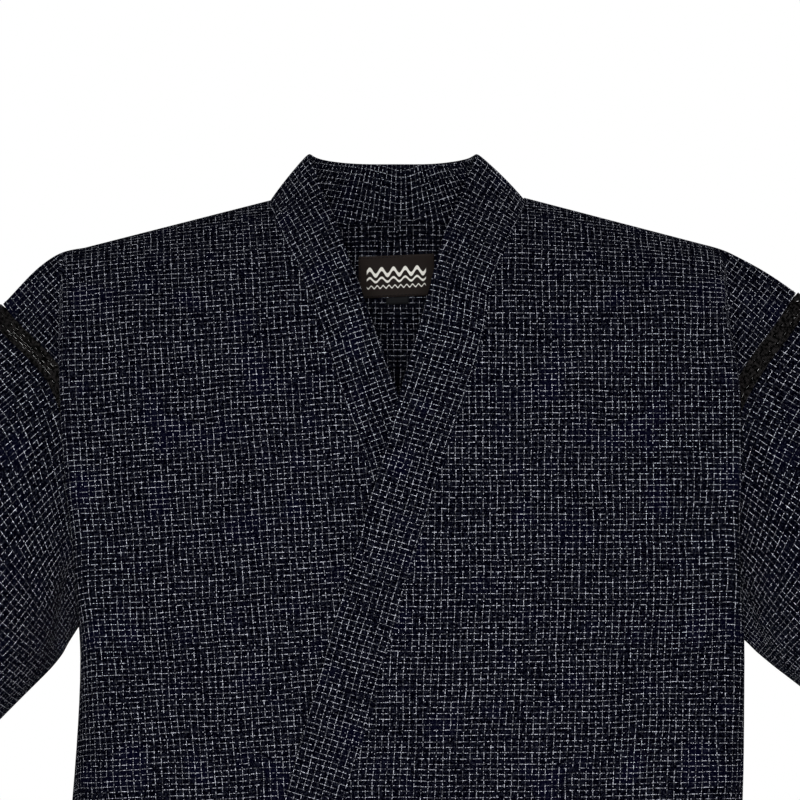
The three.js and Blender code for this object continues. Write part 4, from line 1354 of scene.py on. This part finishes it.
def addSideStrap():
    strap = tie["sideStrap"]
    across = spaced(strap["from"], strap["to"], 5)
    fromKnot = across - tie["knotAcross"]
    z = tie["knotHeight"] + fromKnot * strap["slope"]
    wide = lerp(strap["wideAtKnot"], tie["wide"], ease(fromKnot / strap["widens"]))
    lift = lerp(*strap["lifts"], ease((across - strap["lowersFrom"]) / strap["lowersOver"]))
    edges = [frontAt(sides["right"], across, z + way * wide, lift) for way in (-0.5, 0.5)]
    return stripPiece("tieStrapSide", "tie_strap_side", *edges)


def addTies():
    axes = knotFrame()
    addBow(*axes)
    frontStrap = addFrontStrap()
    addSideStrap()
    knot = addKnot(*axes)


# The knot: one tie wrapped over the other, drawn tight, with its folds running into it.
def addKnot(centre, right, up, out):
    around = np.linspace(0, 2 * math.pi, 40, endpoint=False)
    down = np.linspace(0.12, math.pi - 0.12, 26)[:, None]
    wide, tall, deep = tie["knotSize"]
    x, y, z = np.sin(down) * np.cos(around), np.cos(down) + 0 * around, np.sin(down) * np.sin(around)
    square = (np.abs(x) ** 3 + np.abs(y) ** 3 + np.abs(z) ** 3) ** (-1 / 3)
    folds = 1
    for groove, onX, onY, shift, grooveWide, beyond in tie["knotFolds"]:
        folds = folds - groove * bell(onX * x + onY * y + shift, grooveWide) * (np.abs(x) > beyond)
    size = square * folds
    local = points3(x * size * wide, y * size * tall, z * size * deep)
    points = centre + local[..., :1] * right + local[..., 1:2] * up + local[..., 2:] * out
    uv = clothMap(np.linspace(0, 40, 41), 8 * down)
    mesh = gridMesh("tieKnot", points, uv, points - centre, wrapped=True, capped=True)
    return addPiece("tieKnot", mesh, cottonCloth, ["tie_knot"])


addTies()
print("the ties are knotted")


# The shorts: two legs under a gathered waistband.
shorts = {
    "thick": 0.9,
    "top": 455,
    "bandTop": 425,
    "hemDrop": 1010,
    "crotch": 700,
    "crotchRun": 14,
    "gathers": 20,
    "gatherDepth": 2.2,
    "step": 5,
    "around": 120,
    "hem": 25,
    "hemStep": 0.5,
    "bandThick": 2.4,
    "bandAround": 240,
    "bandFlat": 820,
    "bandTaper": 0.12,
    "elastic": 10,  # the band is stitched through in rows, one to a strand of elastic
    "cloud": 0.7,
    "reliefFade": 40,
    "foldShare": 2.4,
    "creases": {
        "left": [
            (-60, 520, -90, 660, 16, 2.4), (40, 540, 70, 690, 18, 2.2), (-150, 610, -230, 690, 14, 2.6),
            (-120, 700, -150, 880, 22, 2.6), (30, 690, 20, 900, 26, -2.2), (140, 640, 226, 700, 14, 2.4),
            (120, 760, 150, 980, 24, 2.4), (-40, 860, -30, 1000, 20, 2.0),
        ],
        "right": [
            (-70, 530, -84, 640, 16, 2.2), (50, 520, 66, 700, 18, 2.4), (-160, 620, -236, 700, 14, 2.4),
            (-104, 720, -140, 900, 22, 2.4), (24, 700, 34, 880, 26, -2.0), (150, 650, 230, 704, 14, 2.6),
            (110, 780, 140, 970, 24, 2.6), (-30, 840, -44, 1000, 20, 1.8),
        ],
    },
}
legRows = table("drop centre wide deep", [
    (455, 0, 166, 88), (520, 0, 182, 94), (590, 0, 198, 107.5), (635, 22, 179, 111.5),
    (668, 56, 148, 108), (694, 88, 119, 107), (712, 107, 106.7, 104), (740, 111, 105, 101),
    (800, 116, 105, 96), (900, 121, 107, 90), (1010, 127, 110, 86),
])


def gatherAt(angle, extra=0):
    n = shorts["gathers"]
    waves = 0.85 * np.cos(angle * n) + 0.3 * np.cos(angle * (2 * n + 3) + 1)
    return shorts["gatherDepth"] * (waves + extra)


def legPoint(side, share, drop):
    centre, wide, deep = columns(legRows, "drop", "centre wide deep", drop)
    reach = np.arccos(np.clip(-centre / wide, -1, 1))
    angle = lerp(-reach, reach, share)
    ruffle = gatherAt(angle) * (1 - ease((drop - shorts["top"]) / 70))
    x = np.maximum(centre + (wide + ruffle) * np.cos(angle), cut["seamGap"] / 8)
    y = (deep + ruffle) * np.sin(angle)
    # Below the crotch the leg's two edges lie a hair apart.
    below = ease((drop - shorts["crotch"]) / shorts["crotchRun"])
    y = y + 0.1 * np.sign(share - 0.5) * below * (np.abs(share - 0.5) > 0.499)
    return points3(x * side["sign"], y, -drop)


def addLeg(side):
    drop = spaced(shorts["top"], shorts["hemDrop"], shorts["step"])[:, None]
    middle = np.linspace(0, 1, shorts["around"])
    share = np.concatenate([[0, 0.002, 0.005], middle[1:-1] * 0.984 + 0.008, [0.995, 0.998, 1]])
    points = legPoint(side, share, drop)
    normals = gridNormals(points, points * (1, 1, 0))
    along = length(np.diff(points, axis=1))
    u = np.concatenate([0 * drop, np.cumsum(along, 1)], 1)
    u = u - u[:, len(share) // 2:len(share) // 2 + 1]
    v = drop + 0 * u
    relief = shorts["foldShare"] * creaseRelief(shorts["creases"][side["name"]], u, v)
    relief += cloudRelief(u, v, shorts["cloud"], 30 + side["sign"])
    seam = np.minimum(share, 1 - share)
    relief = relief * ease(seam / 0.06) * ease((v - shorts["top"]) / shorts["reliefFade"])
    relief += hemStep(shorts, v, shorts["hemDrop"])
    relief -= 0.5 * bell(seam, 0.003)
    points = points + normals * relief[..., None]
    name = named("shortsLeg", side)
    mesh = gridMesh(name, points, clothMap(u, v), normals)
    piece = addPiece(name, mesh, cottonCloth, ["shorts_leg_" + side["name"]], thick=shorts["thick"])
    hemLine = shorts["hemDrop"] - shorts["hem"] + 3 - shorts["top"]
    hemRow = int(round(hemLine / shorts["step"]))
    lines = [points[hemRow] + normals[hemRow] * 0.6]
    stitches = addStitches(named("legStitches", side), lines)


def addWaistband():
    drop = spaced(shorts["top"] - 2 * cut["seamGap"], shorts["bandTop"], 2.4)[:, None]
    count = shorts["bandAround"]
    angle = 2 * math.pi * np.arange(count) / count
    shrink = (shorts["top"] - drop) * shorts["bandTaper"]
    rows = 2 * math.pi * (shorts["top"] - drop) / shorts["elastic"]
    puff = 0.35 * (1 - np.cos(rows)) - 0.35
    ruffle = gatherAt(angle, 0.25 * np.sin(angle * 53)) + puff
    wide, deep = [legRows[name][0] - shrink + ruffle for name in ("wide", "deep")]
    points = points3(wide * np.cos(angle), deep * np.sin(angle), -drop)
    normals = gridNormals(points, points * (1, 1, 0))
    around = np.arange(count + 1) / count * shorts["bandFlat"]
    mesh = gridMesh("waistband", points, clothMap(around, drop), normals, wrapped=True)
    band = addPiece("waistband", mesh, cottonCloth, ["shorts_waistband"], thick=shorts["bandThick"])
    lines = []
    for strand in (1, 2):
        at = shorts["top"] - strand * shorts["elastic"]
        row = int(np.abs(drop[:, 0] - at).argmin())
        ring = points[row] + normals[row] * (shorts["bandThick"] / 2 + 0.1)
        lines.append(np.concatenate([ring, ring[:1]]))
    stitches = addStitches("waistStitches", lines)


addWaistband()
for side in sides.values():
    addLeg(side)
print("the shorts are sewn")
